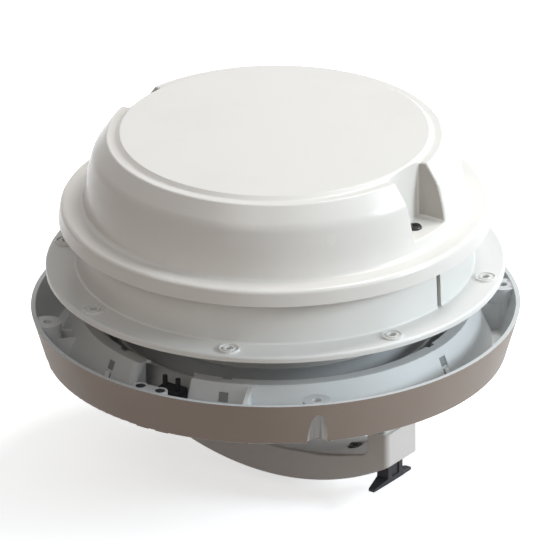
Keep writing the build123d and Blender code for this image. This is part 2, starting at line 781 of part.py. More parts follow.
# Latches: a stem with a stop head inside the handle and a finger plate below it
def latch_plate(x):
    """Finger plate at a distance x from the handle's middle, narrowed and bent to its tips."""
    tip_level = latch_plate_z - latch_tip_drop
    with BuildPart() as plate:
        with BuildSketch(Plane.YZ.offset(x)):
            with BuildLine():
                Polyline(
                    (-latch_plate_half_width, tip_level),
                    (-latch_half_width, latch_plate_z),
                    (latch_half_width, latch_plate_z),
                    (latch_plate_half_width, tip_level),
                    (latch_plate_half_width, tip_level - latch_tip_thickness),
                    (latch_half_width, latch_plate_z - latch_plate_thickness),
                    (-latch_half_width, latch_plate_z - latch_plate_thickness),
                    (-latch_plate_half_width, tip_level - latch_tip_thickness),
                    close=True,
                )
            make_face()
        extrude(amount=latch_thickness / 2, both=True)
        with BuildSketch(Plane.XY.offset(tip_level - latch_tip_thickness)):
            with BuildLine(Location((x, 0))):
                Polyline(
                    (-latch_tip_half_width, -latch_plate_half_width),
                    (latch_tip_half_width, -latch_plate_half_width),
                    (latch_thickness / 2, -latch_half_width),
                    (latch_thickness / 2, latch_half_width),
                    (latch_tip_half_width, latch_plate_half_width),
                    (-latch_tip_half_width, latch_plate_half_width),
                    (-latch_thickness / 2, latch_half_width),
                    (-latch_thickness / 2, -latch_half_width),
                    close=True,
                )
            make_face()
        extrude(amount=latch_tip_drop + latch_tip_thickness, mode=Mode.INTERSECT)
    return plate.part


def latch(side):
    """One latch at the end of the handle given by side."""
    x = side * latch_centre_x
    with BuildPart() as body:
        with BuildSketch(Plane.XY.offset(latch_plate_z)):
            with Locations((x, 0)):
                Rectangle(latch_thickness, 2 * latch_half_width)
        extrude(amount=latch_head_z - latch_plate_z)
        with BuildSketch(Plane.XY.offset(latch_head_z)):
            with Locations((x, 0)):
                Rectangle(latch_thickness, 2 * latch_head_half_width)
        extrude(amount=latch_head_height)
        add(latch_plate(x))
        # Grooves down both broad sides of the stem
        with BuildSketch(Plane.XY.offset(latch_plate_z)):
            with Locations((x + latch_thickness / 2, 0), (x - latch_thickness / 2, 0)):
                Rectangle(latch_tip_thickness, latch_half_width)
        extrude(amount=latch_head_z - latch_plate_z - latch_travel, mode=Mode.SUBTRACT)
    return body.part


def latch_spring(side):
    """The spring between a latch's head and the stem's foot."""
    with BuildPart() as spring:
        with BuildSketch(Plane.XY.offset(latch_head_top)):
            with Locations((side * latch_centre_x, 0)):
                Circle(latch_spring_radius)
                Circle(latch_spring_bore, mode=Mode.SUBTRACT)
        extrude(amount=shoulder_top - latch_head_top)
    return spring.part


write(latch(1), "latch_right")
write(latch(-1), "latch_left")
write(latch_spring(1), "latch_spring_right")
write(latch_spring(-1), "latch_spring_left")

# Fan shroud: a tube in the throat, a ring on top of it and a bridge for the motor
motor_screw_places = [(side * motor_screw_circle, 0) for side in sides]
bush_half_width = stem_half_width + gap + bush_wall
bush_inner_x = stem_inner_x - gap - bush_wall
bush_outer_x = stem_outer_x + gap + bush_wall
with BuildPart() as fan_shroud:
    with BuildSketch(Plane.XY.offset(-shroud_drop)):
        Circle(shroud_outer)
        Circle(shroud_inner_radius, mode=Mode.SUBTRACT)
    extrude(amount=shroud_drop + shroud_top)
    with BuildSketch(Plane.XY.offset(throat_top)):
        Circle(shroud_ring_radius)
        Circle(shroud_inner_radius, mode=Mode.SUBTRACT)
        with Locations(*[(side * (bush_inner_x + bush_outer_x) / 2, 0) for side in sides]):
            Rectangle(bush_outer_x - bush_inner_x, 2 * bush_half_width, mode=Mode.SUBTRACT)
        with PolarLocations(shroud_boss_circle, shroud_screw_count, start_angle=boss_start_angle):
            Circle(screw_radius + gap, mode=Mode.SUBTRACT)
    extrude(amount=shroud_ring_thickness)
    with BuildSketch(Plane.XY.offset(bridge_height)):
        for arm in range(bridge_arm_count):
            with Locations(Rotation(0, 0, 90 + 360 * arm / bridge_arm_count)):
                Rectangle(shroud_inner_radius + shroud_wall / 2, bridge_arm_width,
                          align=(Align.MIN, Align.CENTER))
        Circle(motor_plate_radius, mode=Mode.SUBTRACT)
    extrude(amount=bridge_arm_depth)
    with BuildSketch(Plane.XY.offset(bridge_height)):
        Circle(motor_plate_radius)
        Circle(motor_boss_radius + gap, mode=Mode.SUBTRACT)
        with Locations(*motor_screw_places):
            Circle(screw_radius + gap, mode=Mode.SUBTRACT)
    extrude(amount=bridge_thickness)
write(fan_shroud.part, "fan_shroud")

shroud_screw_places = [
    (shroud_boss_circle * cos(radians(boss_start_angle + 360 * step / shroud_screw_count)),
     shroud_boss_circle * sin(radians(boss_start_angle + 360 * step / shroud_screw_count)))
    for step in range(shroud_screw_count)
]
shroud_screws = pan_screw(shroud_top, throat_rise / 2 + shroud_ring_thickness, shroud_screw_places)
write(shroud_screws, "shroud_screws")

with BuildPart() as guide_bushes:
    bush_x = [(side * (bush_inner_x + bush_outer_x) / 2, 0) for side in sides]
    with BuildSketch(Plane.XY.offset(throat_top)):
        with Locations(*bush_x):
            Rectangle(bush_outer_x - bush_inner_x, 2 * bush_half_width)
    extrude(amount=shroud_ring_thickness)
    with BuildSketch(Plane.XY.offset(shroud_top)):
        with Locations(*bush_x):
            Rectangle(bush_outer_x - bush_inner_x + 2 * bush_lip, 2 * (bush_half_width + bush_lip))
    extrude(amount=bush_lip_height)
    with BuildSketch(Plane.XY.offset(throat_top)):
        with Locations(*[(side * stem_x, 0) for side in sides]):
            Rectangle(stem_thickness + 2 * gap, 2 * (stem_half_width + gap))
    extrude(amount=shroud_ring_thickness + bush_lip_height, mode=Mode.SUBTRACT)
write(guide_bushes.part, "guide_bushes")

# Motor, its bush and its screws
shaft_top = motor_base + shaft_top_share * motor_length
motor_screw_depth = bridge_thickness + screw_head_radius
with BuildPart() as motor_can:
    with BuildSketch(Plane.XY.offset(motor_base)):
        Circle(motor_radius)
    extrude(amount=motor_length)
    fillet(motor_can.edges().group_by(Axis.Z)[-1], motor_edge_round)
    with BuildSketch(Plane.XY.offset(motor_top)):
        Circle(motor_cap_radius)
    extrude(amount=motor_cap_height)
    with BuildSketch(Plane.XY.offset(bridge_height)):
        Circle(motor_boss_radius)
    extrude(amount=bridge_thickness)
    with BuildSketch(Plane.XY.offset(bridge_height)):
        Circle(bush_radius + seat_gap)
    extrude(amount=bridge_thickness + seat_gap, mode=Mode.SUBTRACT)
    with BuildSketch(Plane.XY.offset(bridge_height)):
        Circle(shaft_radius + gap)
    extrude(amount=shaft_top + gap - bridge_height, mode=Mode.SUBTRACT)
    with BuildSketch(Plane.XY.offset(motor_base)):
        with Locations(*motor_screw_places):
            Circle(screw_radius)
    extrude(amount=motor_screw_depth - bridge_thickness, mode=Mode.SUBTRACT)
write(motor_can.part, "motor_can")

with BuildPart() as motor_bush:
    with BuildSketch(Plane.XY.offset(bridge_height)):
        Circle(bush_radius)
        Circle(shaft_radius + run_gap, mode=Mode.SUBTRACT)
    extrude(amount=bridge_thickness)
write(motor_bush.part, "motor_bush")

motor_screws = pan_screw(bridge_height, motor_screw_depth, motor_screw_places, head_up=False)
write(motor_screws, "motor_screws")


# Fan: a hub with pitched, cambered blades, on the motor's shaft
def blade_section(radius, chord, pitch):
    """Cambered blade section on a plane that faces along X at the given radius."""
    middle = (hub_top + hub_bottom) / 2
    with BuildSketch(Plane((radius, 0, middle), x_dir=(0, 1, 0), z_dir=(1, 0, 0))) as section:
        with BuildLine(Rotation(0, 0, pitch)):
            ThreePointArc((-chord / 2, 0), (0, blade_camber), (chord / 2, 0))
            ThreePointArc((chord / 2, 0), (0, blade_camber - blade_thickness), (-chord / 2, 0))
        make_face()
    return section.sketch


with BuildPart() as blade:
    add(blade_section(blade_root_share * hub_radius, blade_root_chord, blade_root_pitch))
    add(blade_section(blade_tip_radius + over, blade_tip_chord, blade_tip_pitch))
    loft()
with BuildPart() as fan_impeller:
    with BuildSketch(Plane.XY.offset(hub_bottom)):
        Circle(hub_radius)
    extrude(amount=hub_top - hub_bottom)
    fillet(fan_impeller.edges().group_by(Axis.Z)[0], hub_nose_round)
    with PolarLocations(0, blade_count):
        add(blade.part)
    with BuildSketch(Plane.XY.offset(hub_bottom)):
        Circle(blade_tip_radius)
    extrude(amount=hub_top - hub_bottom, mode=Mode.INTERSECT)
    with BuildSketch(Plane.XY.offset(hub_bottom + hub_nose_thickness)):
        Circle(hub_radius - hub_wall)
        Circle(hub_boss_radius, mode=Mode.SUBTRACT)
    extrude(amount=hub_top - hub_bottom, mode=Mode.SUBTRACT)
    with BuildSketch(Plane.XY.offset(hub_bottom)):
        Circle(shaft_radius + seat_gap)
    extrude(amount=hub_top - hub_bottom, mode=Mode.SUBTRACT)
write(fan_impeller.part, "fan_impeller")

nut_bottom = hub_bottom - nut_height
with BuildPart() as motor_shaft:
    with BuildSketch(Plane.XY.offset(nut_bottom - shaft_end)):
        Circle(shaft_radius)
    extrude(amount=shaft_top - nut_bottom + shaft_end)
write(motor_shaft.part, "motor_shaft")

with BuildPart() as fan_nut:
    with BuildSketch(Plane.XY.offset(nut_bottom)):
        RegularPolygon(nut_radius, 6)
        Circle(shaft_radius + seat_gap, mode=Mode.SUBTRACT)
    extrude(amount=nut_height)
write(fan_nut.part, "fan_nut")

# Insect screen: rings of slots in a flat disc, notched for the stems
screen_radius = throat_inner - gap
screen_bottom = lug_height - throat_depth
slot_zone = (screen_radius - screen_rim - screen_centre_radius) / screen_ring_count
with BuildPart() as insect_screen:
    with BuildSketch(Plane.XY.offset(screen_bottom)):
        Circle(screen_radius)
        for ring, slots in enumerate(screen_slots):
            ring_inner = screen_centre_radius + ring * slot_zone
            with BuildSketch(mode=Mode.PRIVATE) as ring_slots:
                Circle(ring_inner + slot_zone - screen_ring_web)
                Circle(ring_inner, mode=Mode.SUBTRACT)
                for spoke in range(slots):
                    with Locations(Rotation(0, 0, 360 * (spoke + 1 / 2) / slots)):
                        Rectangle(screen_radius, screen_spoke,
                                  align=(Align.MIN, Align.CENTER), mode=Mode.SUBTRACT)
            add(ring_slots.sketch, mode=Mode.SUBTRACT)
        for side in sides:
            with Locations((side * (stem_inner_x - gap - screen_rim), 0)):
                Rectangle(screen_rim, 2 * (stem_half_width + gap + screen_rim),
                          align=(Align.MIN if side > 0 else Align.MAX, Align.CENTER))
            with Locations((side * (stem_inner_x - gap), 0)):
                Rectangle(stem_thickness + screen_rim, 2 * (stem_half_width + gap),
                          align=(Align.MIN if side > 0 else Align.MAX, Align.CENTER),
                          mode=Mode.SUBTRACT)
    extrude(amount=screen_thickness)
write(insect_screen.part, "insect_screen")

# Sleeve that joins the throat to the trim ring
with BuildPart() as throat_sleeve:
    with BuildSketch(Plane.XZ):
        with BuildLine():
            Polyline(
                (throat_inner + gap, sleeve_bottom),
                (sleeve_tube_radius - sleeve_wall, sleeve_bottom),
                (sleeve_tube_radius - sleeve_wall, sleeve_bottom - sleeve_drop),
                (sleeve_tube_radius, sleeve_bottom - sleeve_drop),
                (sleeve_tube_radius, -throat_depth),
                (sleeve_inner + sleeve_wall, -throat_depth),
                (sleeve_inner + sleeve_wall, sleeve_grip - throat_depth),
                (sleeve_inner, sleeve_grip - throat_depth),
                (sleeve_inner, -throat_depth),
                (throat_inner + gap, -throat_depth),
                close=True,
            )
        make_face()
    revolve(axis=Axis.Z)
write(throat_sleeve.part, "throat_sleeve")

# Trim ring: an open channel with screw bosses, a leaning inner wall and a spigot
cone_top = trim_rim + ledge_rise
with BuildPart() as trim_space:
    with BuildSketch(Plane.XZ):
        with BuildLine():
            Polyline(
                (cone_foot_radius - cone_wall / 2, trim_foot),
                (trim_foot_radius, trim_foot),
                (trim_rim_radius, trim_rim),
                (cone_top_radius - cone_wall / 2, trim_rim),
                (cone_foot_radius - cone_wall / 2, trim_floor_top),
                close=True,
            )
        make_face()
    revolve(axis=Axis.Z)

with BuildPart() as scallops:
    with BuildSketch(Plane.XY.offset(trim_foot - over)):
        with PolarLocations(boss_circle, boss_count, start_angle=boss_start_angle):
            Circle(scallop_radius)
    extrude(amount=scallop_height + over)

with BuildPart() as trim_inserts:
    with BuildSketch(Plane.XY.offset(trim_foot)):
        with PolarLocations(boss_circle, boss_count, start_angle=boss_start_angle):
            Circle(boss_radius)
    extrude(amount=trim_height - boss_below_rim)
    for angle in [boss_start_angle + 360 * step / boss_count for step in range(boss_count)]:
        for side in sides:
            with BuildSketch(Plane.XY.offset(trim_foot).rotated((0, 0, angle))):
                with Locations((boss_circle, side * gusset_spread)):
                    Rectangle(boss_circle - ledge_inner_radius, gusset_thickness,
                              align=(Align.MAX, Align.CENTER))
            extrude(amount=trim_height - gusset_below_rim)
    for angle in twin_angles:
        with BuildSketch(Plane.XY.offset(trim_foot).rotated((0, 0, angle))):
            with Locations((twin_circle, 0)):
                Circle(twin_boss_radius)
        extrude(amount=trim_height - twin_below_rim)
    with BuildSketch(Plane.XY.offset(trim_foot).rotated((0, 0, rib_angle))):
        with Locations((trim_foot_radius, 0)):
            Rectangle(trim_foot_radius - ledge_inner_radius, gusset_thickness,
                      align=(Align.MAX, Align.CENTER))
    extrude(amount=trim_height - rib_below_rim)
    add(trim_space.part, mode=Mode.INTERSECT)
    # Screw holes and the scallops below them
    add(scallops.part, mode=Mode.SUBTRACT)
    with BuildSketch(Plane.XY.offset(trim_foot)):
        with PolarLocations(boss_circle, boss_count, start_angle=boss_start_angle):
            Circle(boss_hole_radius)
    extrude(amount=trim_height, mode=Mode.SUBTRACT)
    for angle in twin_angles:
        with BuildSketch(Plane.XY.offset(trim_rim).rotated((0, 0, angle))):
            with Locations((twin_circle, 0)):
                Circle(twin_hole_radius)
        extrude(amount=-twin_hole_depth, mode=Mode.SUBTRACT)

# Shallow windows, as deep as the skin of the leaning wall that they are cut in
window_top = trim_rim - window_below_rim
with BuildPart() as window_skin:
    with BuildSketch(Plane.XZ):
        with BuildLine():
            Polyline(
                (cone_top_radius - window_depth, cone_top),
                (cone_top_radius + over, cone_top),
                (cone_foot_radius + over, trim_floor_top),
                (cone_foot_radius - window_depth, trim_floor_top),
                close=True,
            )
        make_face()
    revolve(axis=Axis.Z)
with BuildPart() as window_blocks:
    for angle in window_angles:
        with BuildSketch(Plane.XY.offset(window_top).rotated((0, 0, angle))):
            with Locations((cone_top_radius, 0)):
                Rectangle(2 * (cone_foot_radius - cone_top_radius), window_size)
        extrude(amount=-window_size)
window_recesses = window_blocks.part & window_skin.part

with BuildPart() as ceiling_trim:
    with BuildSketch(Plane.XZ):
        with BuildLine():
            FilletPolyline(
                (spigot_inner, trim_foot),
                (trim_foot_radius, trim_foot),
                (trim_rim_radius, trim_rim),
                (trim_rim_radius - trim_wall, trim_rim),
                (trim_foot_radius - trim_wall, trim_floor_top),
                (cone_foot_radius, trim_floor_top),
                (cone_top_radius, cone_top),
                (ledge_inner_radius, cone_top),
                (ledge_inner_radius, cone_top - ledge_thickness),
                (cone_top_radius - cone_wall, cone_top - ledge_thickness),
                (cone_foot_radius - cone_wall, trim_floor_top),
                (spigot_inner + spigot_wall, trim_floor_top),
                (spigot_inner + spigot_wall, trim_foot + spigot_height),
                (spigot_inner, trim_foot + spigot_height),
                radius=(trim_foot_round, trim_foot_round, 0, 0, 0, 0, trim_foot_round / 2, 0, 0,
                        0, 0, 0, 0, 0),
                close=True,
            )
        make_face()
    revolve(axis=Axis.Z)
    add(scallops.part, mode=Mode.SUBTRACT)
    # Wiring gap with a wall at each side
    with BuildSketch(Plane.XY.offset(trim_floor_top).rotated((0, 0, wiring_angle))):
        with Locations((ledge_inner_radius - over, 0)):
            Rectangle(cone_foot_radius - ledge_inner_radius + 2 * over, 2 * wiring_half_width,
                      align=(Align.MIN, Align.CENTER))
    extrude(amount=trim_height, mode=Mode.SUBTRACT)
    outward = Vector(cos(radians(wiring_angle)), sin(radians(wiring_angle)), 0)
    across = outward.cross(Vector(0, 0, 1))
    for side in sides:
        with BuildSketch(Plane(across * side * wiring_half_width, x_dir=outward, z_dir=across)):
            with BuildLine():
                Polyline(
                    (ledge_inner_radius, trim_floor_top - trim_floor / 2),
                    (cone_foot_radius - cone_wall, trim_floor_top - trim_floor / 2),
                    (cone_top_radius - cone_wall, cone_top),
                    (ledge_inner_radius, cone_top),
                    close=True,
                )
            make_face()
        extrude(amount=side * gusset_thickness)
    add(trim_inserts.part)
    # Windows in the leaning wall, the notches over them and the slots under some
    add(window_recesses, mode=Mode.SUBTRACT)
    for angle in window_angles:
        with BuildSketch(Plane.XY.offset(cone_top).rotated((0, 0, angle))):
            with Locations((ledge_inner_radius - over, 0)):
                Rectangle(ledge_thickness + over, window_size, align=(Align.MIN, Align.CENTER))
        extrude(amount=-ledge_thickness, mode=Mode.SUBTRACT)
    for angle in light_slot_angles:
        with BuildSketch(Plane.XY.offset(window_top - window_size - over).rotated((0, 0, angle))):
            with Locations((cone_foot_radius - cone_wall, 0)):
                Rectangle(cone_foot_radius - cone_top_radius + over, light_slot_width)
        extrude(amount=-light_slot_height, mode=Mode.SUBTRACT)
write(ceiling_trim.part, "ceiling_trim")

# Terminal block on the trim's floor
block_plane = Plane.XY.offset(trim_floor_top).rotated((0, 0, block_angle))
post_places = [(block_circle, side * post_spread) for side in sides]
with BuildPart() as terminal_block:
    with BuildSketch(block_plane):
        with Locations((block_circle, 0)):
            Rectangle(block_width, block_length)
    extrude(amount=block_height)
    fillet(terminal_block.edges().group_by(Axis.Z)[-1], block_edge_round)
    with BuildSketch(block_plane.offset(block_height)):
        with Locations(*post_places):
            Circle(post_radius)
    extrude(amount=-post_seat, mode=Mode.SUBTRACT)
write(terminal_block.part, "terminal_block")

with BuildPart() as terminal_posts:
    with BuildSketch(block_plane.offset(block_height - post_seat)):
        with Locations(*post_places):
            Circle(post_radius)
    extrude(amount=post_seat + post_height)
write(terminal_posts.part, "terminal_posts")
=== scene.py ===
"""Looks of a powered roof vent for caravans: finishes, fine pieces, light and camera."""

import json
import logging
import math
from dataclasses import dataclass
from enum import Enum

import bmesh
import bpy
from mathutils import Matrix, Vector

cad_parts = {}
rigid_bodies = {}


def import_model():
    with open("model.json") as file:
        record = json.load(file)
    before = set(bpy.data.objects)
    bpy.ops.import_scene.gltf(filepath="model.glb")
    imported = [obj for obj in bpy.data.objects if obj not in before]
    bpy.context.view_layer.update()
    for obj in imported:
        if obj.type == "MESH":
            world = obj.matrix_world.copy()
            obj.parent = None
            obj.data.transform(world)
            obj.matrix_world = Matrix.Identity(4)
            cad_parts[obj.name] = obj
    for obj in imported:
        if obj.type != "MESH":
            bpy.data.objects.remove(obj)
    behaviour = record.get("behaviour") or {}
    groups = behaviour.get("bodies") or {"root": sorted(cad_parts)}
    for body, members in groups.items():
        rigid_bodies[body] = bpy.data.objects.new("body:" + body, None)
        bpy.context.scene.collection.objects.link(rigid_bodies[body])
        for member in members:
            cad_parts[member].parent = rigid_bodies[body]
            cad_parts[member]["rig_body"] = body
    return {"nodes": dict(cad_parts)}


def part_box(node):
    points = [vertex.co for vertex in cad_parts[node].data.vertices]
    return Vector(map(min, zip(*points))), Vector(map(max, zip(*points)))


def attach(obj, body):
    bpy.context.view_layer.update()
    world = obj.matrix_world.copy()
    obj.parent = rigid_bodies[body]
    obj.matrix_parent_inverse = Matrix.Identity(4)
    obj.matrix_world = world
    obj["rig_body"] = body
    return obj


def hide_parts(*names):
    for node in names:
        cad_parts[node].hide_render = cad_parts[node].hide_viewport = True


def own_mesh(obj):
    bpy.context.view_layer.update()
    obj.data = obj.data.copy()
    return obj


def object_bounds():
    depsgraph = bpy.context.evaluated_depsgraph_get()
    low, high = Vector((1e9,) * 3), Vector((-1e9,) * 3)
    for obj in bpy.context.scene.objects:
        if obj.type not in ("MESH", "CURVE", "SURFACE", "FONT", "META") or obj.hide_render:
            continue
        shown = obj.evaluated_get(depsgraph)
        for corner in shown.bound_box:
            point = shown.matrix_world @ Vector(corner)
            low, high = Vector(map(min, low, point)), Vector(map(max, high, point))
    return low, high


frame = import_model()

CAD_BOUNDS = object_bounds()
MM = 0.001
WHITE = (1.0, 1.0, 1.0, 1.0)
PAINTED_SHADE_SLOT = 1
FINE_DETAIL = 3.0
COARSE_SCALE = 45.0
COARSE_DETAIL = 2.0
DUST_DETAIL = 5.0
DUST_ROUGHNESS = 0.6
Colour = tuple[float, float, float]
Triple = tuple[float, float, float]
Pair = tuple[float, float]
logger = logging.getLogger("roof_vent")


class Axis(Enum):
    """Direction that a grain or a brushed finish runs along."""

    NONE = (1.0, 1.0, 1.0)
    ALONG_Z = (1.0, 1.0, 0.04)


def new_socket(group: bpy.types.NodeTree, name: str, way: str, kind: str,
               value: float | Triple | None = None) -> None:
    """Add one named socket to a node group.

    Args:
        group: the node group.
        name: the socket's name.
        way: INPUT or OUTPUT.
        kind: the socket's type.
        value: its default, for an input.
    """
    socket = group.interface.new_socket(name=name, in_out=way, socket_type=kind)
    if value is not None:
        socket.default_value = value


def grain_group() -> bpy.types.NodeTree:
    """Node group for the fine texture of moulded plastic or metal.

    Returns:
        The group, with a Height output for bump and a Speckle output for roughness.
    """
    group = bpy.data.node_groups.new("moulded_grain", "ShaderNodeTree")
    new_socket(group, "Scale", "INPUT", "NodeSocketFloat", 900.0)
    new_socket(group, "Stretch", "INPUT", "NodeSocketVector", (1.0, 1.0, 1.0))
    new_socket(group, "Depth", "INPUT", "NodeSocketFloat", 0.3)
    new_socket(group, "Height", "OUTPUT", "NodeSocketFloat")
    new_socket(group, "Speckle", "OUTPUT", "NodeSocketFloat")
    nodes, links = group.nodes, group.links
    inputs, outputs = nodes.new("NodeGroupInput"), nodes.new("NodeGroupOutput")
    place = nodes.new("ShaderNodeTexCoord")
    stretch = nodes.new("ShaderNodeVectorMath")
    stretch.operation = "MULTIPLY"
    fine = nodes.new("ShaderNodeTexNoise")
    fine.inputs["Detail"].default_value = FINE_DETAIL
    coarse = nodes.new("ShaderNodeTexNoise")
    coarse.inputs["Scale"].default_value = COARSE_SCALE
    coarse.inputs["Detail"].default_value = COARSE_DETAIL
    blend = nodes.new("ShaderNodeMath")
    blend.operation = "MULTIPLY"
    links.new(place.outputs["Object"], stretch.inputs[0])
    links.new(inputs.outputs["Stretch"], stretch.inputs[1])
    links.new(stretch.outputs["Vector"], fine.inputs["Vector"])
    links.new(inputs.outputs["Scale"], fine.inputs["Scale"])
    links.new(place.outputs["Object"], coarse.inputs["Vector"])
    links.new(fine.outputs["Fac"], blend.inputs[0])
    links.new(inputs.outputs["Depth"], blend.inputs[1])
    links.new(blend.outputs["Value"], outputs.inputs["Height"])
    links.new(coarse.outputs["Fac"], outputs.inputs["Speckle"])
    return group


def settled_dust_group() -> bpy.types.NodeTree:
    """Node group for dust and handling marks that gather in soft patches.

    Returns:
        The group, with a Mask output from 0 to 1.
    """
    group = bpy.data.node_groups.new("settled_dust", "ShaderNodeTree")
    new_socket(group, "Scale", "INPUT", "NodeSocketFloat", 18.0)
    new_socket(group, "Low", "INPUT", "NodeSocketFloat", 0.45)
    new_socket(group, "High", "INPUT", "NodeSocketFloat", 0.75)
    new_socket(group, "Mask", "OUTPUT", "NodeSocketFloat")
    nodes, links = group.nodes, group.links
    inputs, outputs = nodes.new("NodeGroupInput"), nodes.new("NodeGroupOutput")
    place = nodes.new("ShaderNodeTexCoord")
    patches = nodes.new("ShaderNodeTexNoise")
    patches.inputs["Detail"].default_value = DUST_DETAIL
    patches.inputs["Roughness"].default_value = DUST_ROUGHNESS
    reach = nodes.new("ShaderNodeMapRange")
    links.new(place.outputs["Object"], patches.inputs["Vector"])
    links.new(inputs.outputs["Scale"], patches.inputs["Scale"])
    links.new(patches.outputs["Fac"], reach.inputs["Value"])
    links.new(inputs.outputs["Low"], reach.inputs["From Min"])
    links.new(inputs.outputs["High"], reach.inputs["From Max"])
    links.new(reach.outputs["Result"], outputs.inputs["Mask"])
    return group


@dataclass(frozen=True)
class Finish:
    """One surface finish of the vent, made into a material on demand."""

    name: str
    colour: Colour
    shade: Colour
    roughness: float
    roughness_spread: float = 0.06
    grain_scale: float = 900.0
    grain_depth: float = 0.3
    bump: float = 0.05
    bump_distance: float = 0.0002
    metallic: float = 0.0
    coat: float = 0.0
    coat_roughness: float = 0.05
    specular: float = 0.5
    brushed: Axis = Axis.NONE
    dust_scale: float = 18.0

    def material(self) -> bpy.types.Material:
        """Give the finish's material, which is built the first time it is asked for.

        Returns:
            The material.
        """
        known = bpy.data.materials.get(self.name)
        if known:
            return known
        material = bpy.data.materials.new(self.name)
        material.use_nodes = True
        nodes, links = material.node_tree.nodes, material.node_tree.links
        shader = nodes["Principled BSDF"]
        shader.inputs["Metallic"].default_value = self.metallic
        shader.inputs["Coat Weight"].default_value = self.coat
        shader.inputs["Coat Roughness"].default_value = self.coat_roughness
        shader.inputs["Specular IOR Level"].default_value = self.specular
        grain = nodes.new("ShaderNodeGroup")
        grain.node_tree = GRAIN
        grain.inputs["Scale"].default_value = self.grain_scale
        grain.inputs["Stretch"].default_value = self.brushed.value
        grain.inputs["Depth"].default_value = self.grain_depth
        dust = nodes.new("ShaderNodeGroup")
        dust.node_tree = DUST
        dust.inputs["Scale"].default_value = self.dust_scale
        tint = nodes.new("ShaderNodeMix")
        tint.data_type = "RGBA"
        tint.inputs["A"].default_value = (*self.colour, 1.0)
        tint.inputs["B"].default_value = (*self.shade, 1.0)
        links.new(dust.outputs["Mask"], tint.inputs["Factor"])
        links.new(tint.outputs["Result"], shader.inputs["Base Color"])
        sheen = nodes.new("ShaderNodeMapRange")
        sheen.inputs["To Min"].default_value = self.roughness - self.roughness_spread
        sheen.inputs["To Max"].default_value = self.roughness + self.roughness_spread
        links.new(grain.outputs["Speckle"], sheen.inputs["Value"])
        links.new(sheen.outputs["Result"], shader.inputs["Roughness"])
        bump = nodes.new("ShaderNodeBump")
        bump.inputs["Strength"].default_value = self.bump
        bump.inputs["Distance"].default_value = self.bump_distance
        links.new(grain.outputs["Height"], bump.inputs["Height"])
        links.new(bump.outputs["Normal"], shader.inputs["Normal"])
        return material


DOME = Finish("dome_gloss", (0.82, 0.79, 0.75), (0.79, 0.76, 0.72), 0.24, coat=0.1,
              coat_roughness=0.1, specular=0.35, grain_scale=260.0, bump=0.02)
# Painted shade for the side walls of the lid's notches.
NOTCH_PAINTED_SHADE = Finish("notch_painted_shade", (0.50, 0.475, 0.44), (0.47, 0.45, 0.415), 0.42, bump=0.05)
BASE = Finish("base_satin", (0.79, 0.78, 0.755), (0.76, 0.75, 0.72), 0.32,
              roughness_spread=0.05, bump=0.05, specular=0.4)
TRIM = Finish("trim_matt", (0.69, 0.70, 0.70), (0.65, 0.66, 0.655), 0.5,
              grain_scale=1500.0, bump=0.12)
# Painted shade: a dark brown that stands for the shade on the trim's pale outer wall.
TRIM_WALL_PAINTED_SHADE = Finish("trim_wall_painted_shade", (0.29, 0.23, 0.193), (0.275, 0.22, 0.183), 0.5,
                   grain_scale=1500.0, bump=0.14)
HANDLE = Finish("handle_satin", (0.74, 0.70, 0.67), (0.70, 0.66, 0.63), 0.40, bump=0.06)
SLEEVE = Finish("sleeve_matt", (0.50, 0.51, 0.52), (0.46, 0.47, 0.48), 0.5, bump=0.08)
# Painted shade: dark grey sheets set in the trim's windows and beside the clip tongues, where
# shade falls.
PANE_PAINTED_SHADE = Finish("window_painted_shade", (0.27, 0.275, 0.27), (0.24, 0.245, 0.24), 0.5, bump=0.05,
              specular=0.3)
# Partly the clips' own white, partly painted highlight: paler than the trim so the tongues and the
# rib's top read as lit.
CLIP_PAINTED_HIGHLIGHT = Finish("clip_painted_highlight", (0.90, 0.89, 0.87), (0.87, 0.86, 0.84), 0.35, bump=0.04)
BLACK = Finish("black_plastic", (0.004, 0.005, 0.006), (0.008, 0.009, 0.010), 0.5, bump=0.1,
               specular=0.08)
RUBBER = Finish("seal_rubber", (0.03, 0.03, 0.03), (0.045, 0.045, 0.043), 0.75, bump=0.2)
GASKET = Finish("gasket_foam", (0.20, 0.20, 0.20), (0.25, 0.25, 0.25), 0.85,
                grain_scale=600.0, bump=0.5)
STEEL = Finish("screw_steel", (0.52, 0.52, 0.53), (0.46, 0.46, 0.46), 0.3, metallic=1.0,
               bump=0.08)
DARK_STEEL = Finish("dark_screw", (0.07, 0.068, 0.065), (0.05, 0.05, 0.05), 0.3, metallic=0.8,
                    bump=0.1)
ZINC = Finish("motor_zinc", (0.40, 0.41, 0.43), (0.36, 0.365, 0.37), 0.38, metallic=1.0,
              brushed=Axis.ALONG_Z, bump=0.12)
BRASS = Finish("bush_brass", (0.62, 0.45, 0.20), (0.55, 0.40, 0.18), 0.35, metallic=1.0)
FAN = Finish("fan_plastic", (0.045, 0.046, 0.05), (0.06, 0.06, 0.062), 0.42, bump=0.1)
SCREEN = Finish("screen_plastic", (0.05, 0.05, 0.052), (0.065, 0.065, 0.065), 0.5, bump=0.1)

GRAIN = grain_group()
DUST = settled_dust_group()


def soften(sculpt: bmesh.types.BMesh, edges: list[bmesh.types.BMEdge], width: float,
           segments: int) -> None:
    """Round some edges of a mesh that is being modelled.

    Args:
        sculpt: the mesh.
        edges: its edges to round.
        width: how far the rounding reaches.
        segments: how many steps it has.
    """
    bmesh.ops.bevel(sculpt, geom=edges, offset=width, offset_type="OFFSET", affect="EDGES",
                    segments=segments, profile=0.5, material=-1)


def repeat(pattern: bpy.types.Mesh, places: tuple[Pair, ...]) -> bmesh.types.BMesh:
    """Set copies of a modelled pattern side by side.

    Args:
        pattern: the pattern's mesh, modelled on the Z axis.
        places: where each copy's axis stands.

    Returns:
        A mesh with all the copies.
    """
    sculpt = bmesh.new()
    for x, y in places:
        before = len(sculpt.verts)
        sculpt.from_mesh(pattern)
        bmesh.ops.translate(sculpt, verts=sculpt.verts[before:], vec=(x, y, 0.0))
    return sculpt


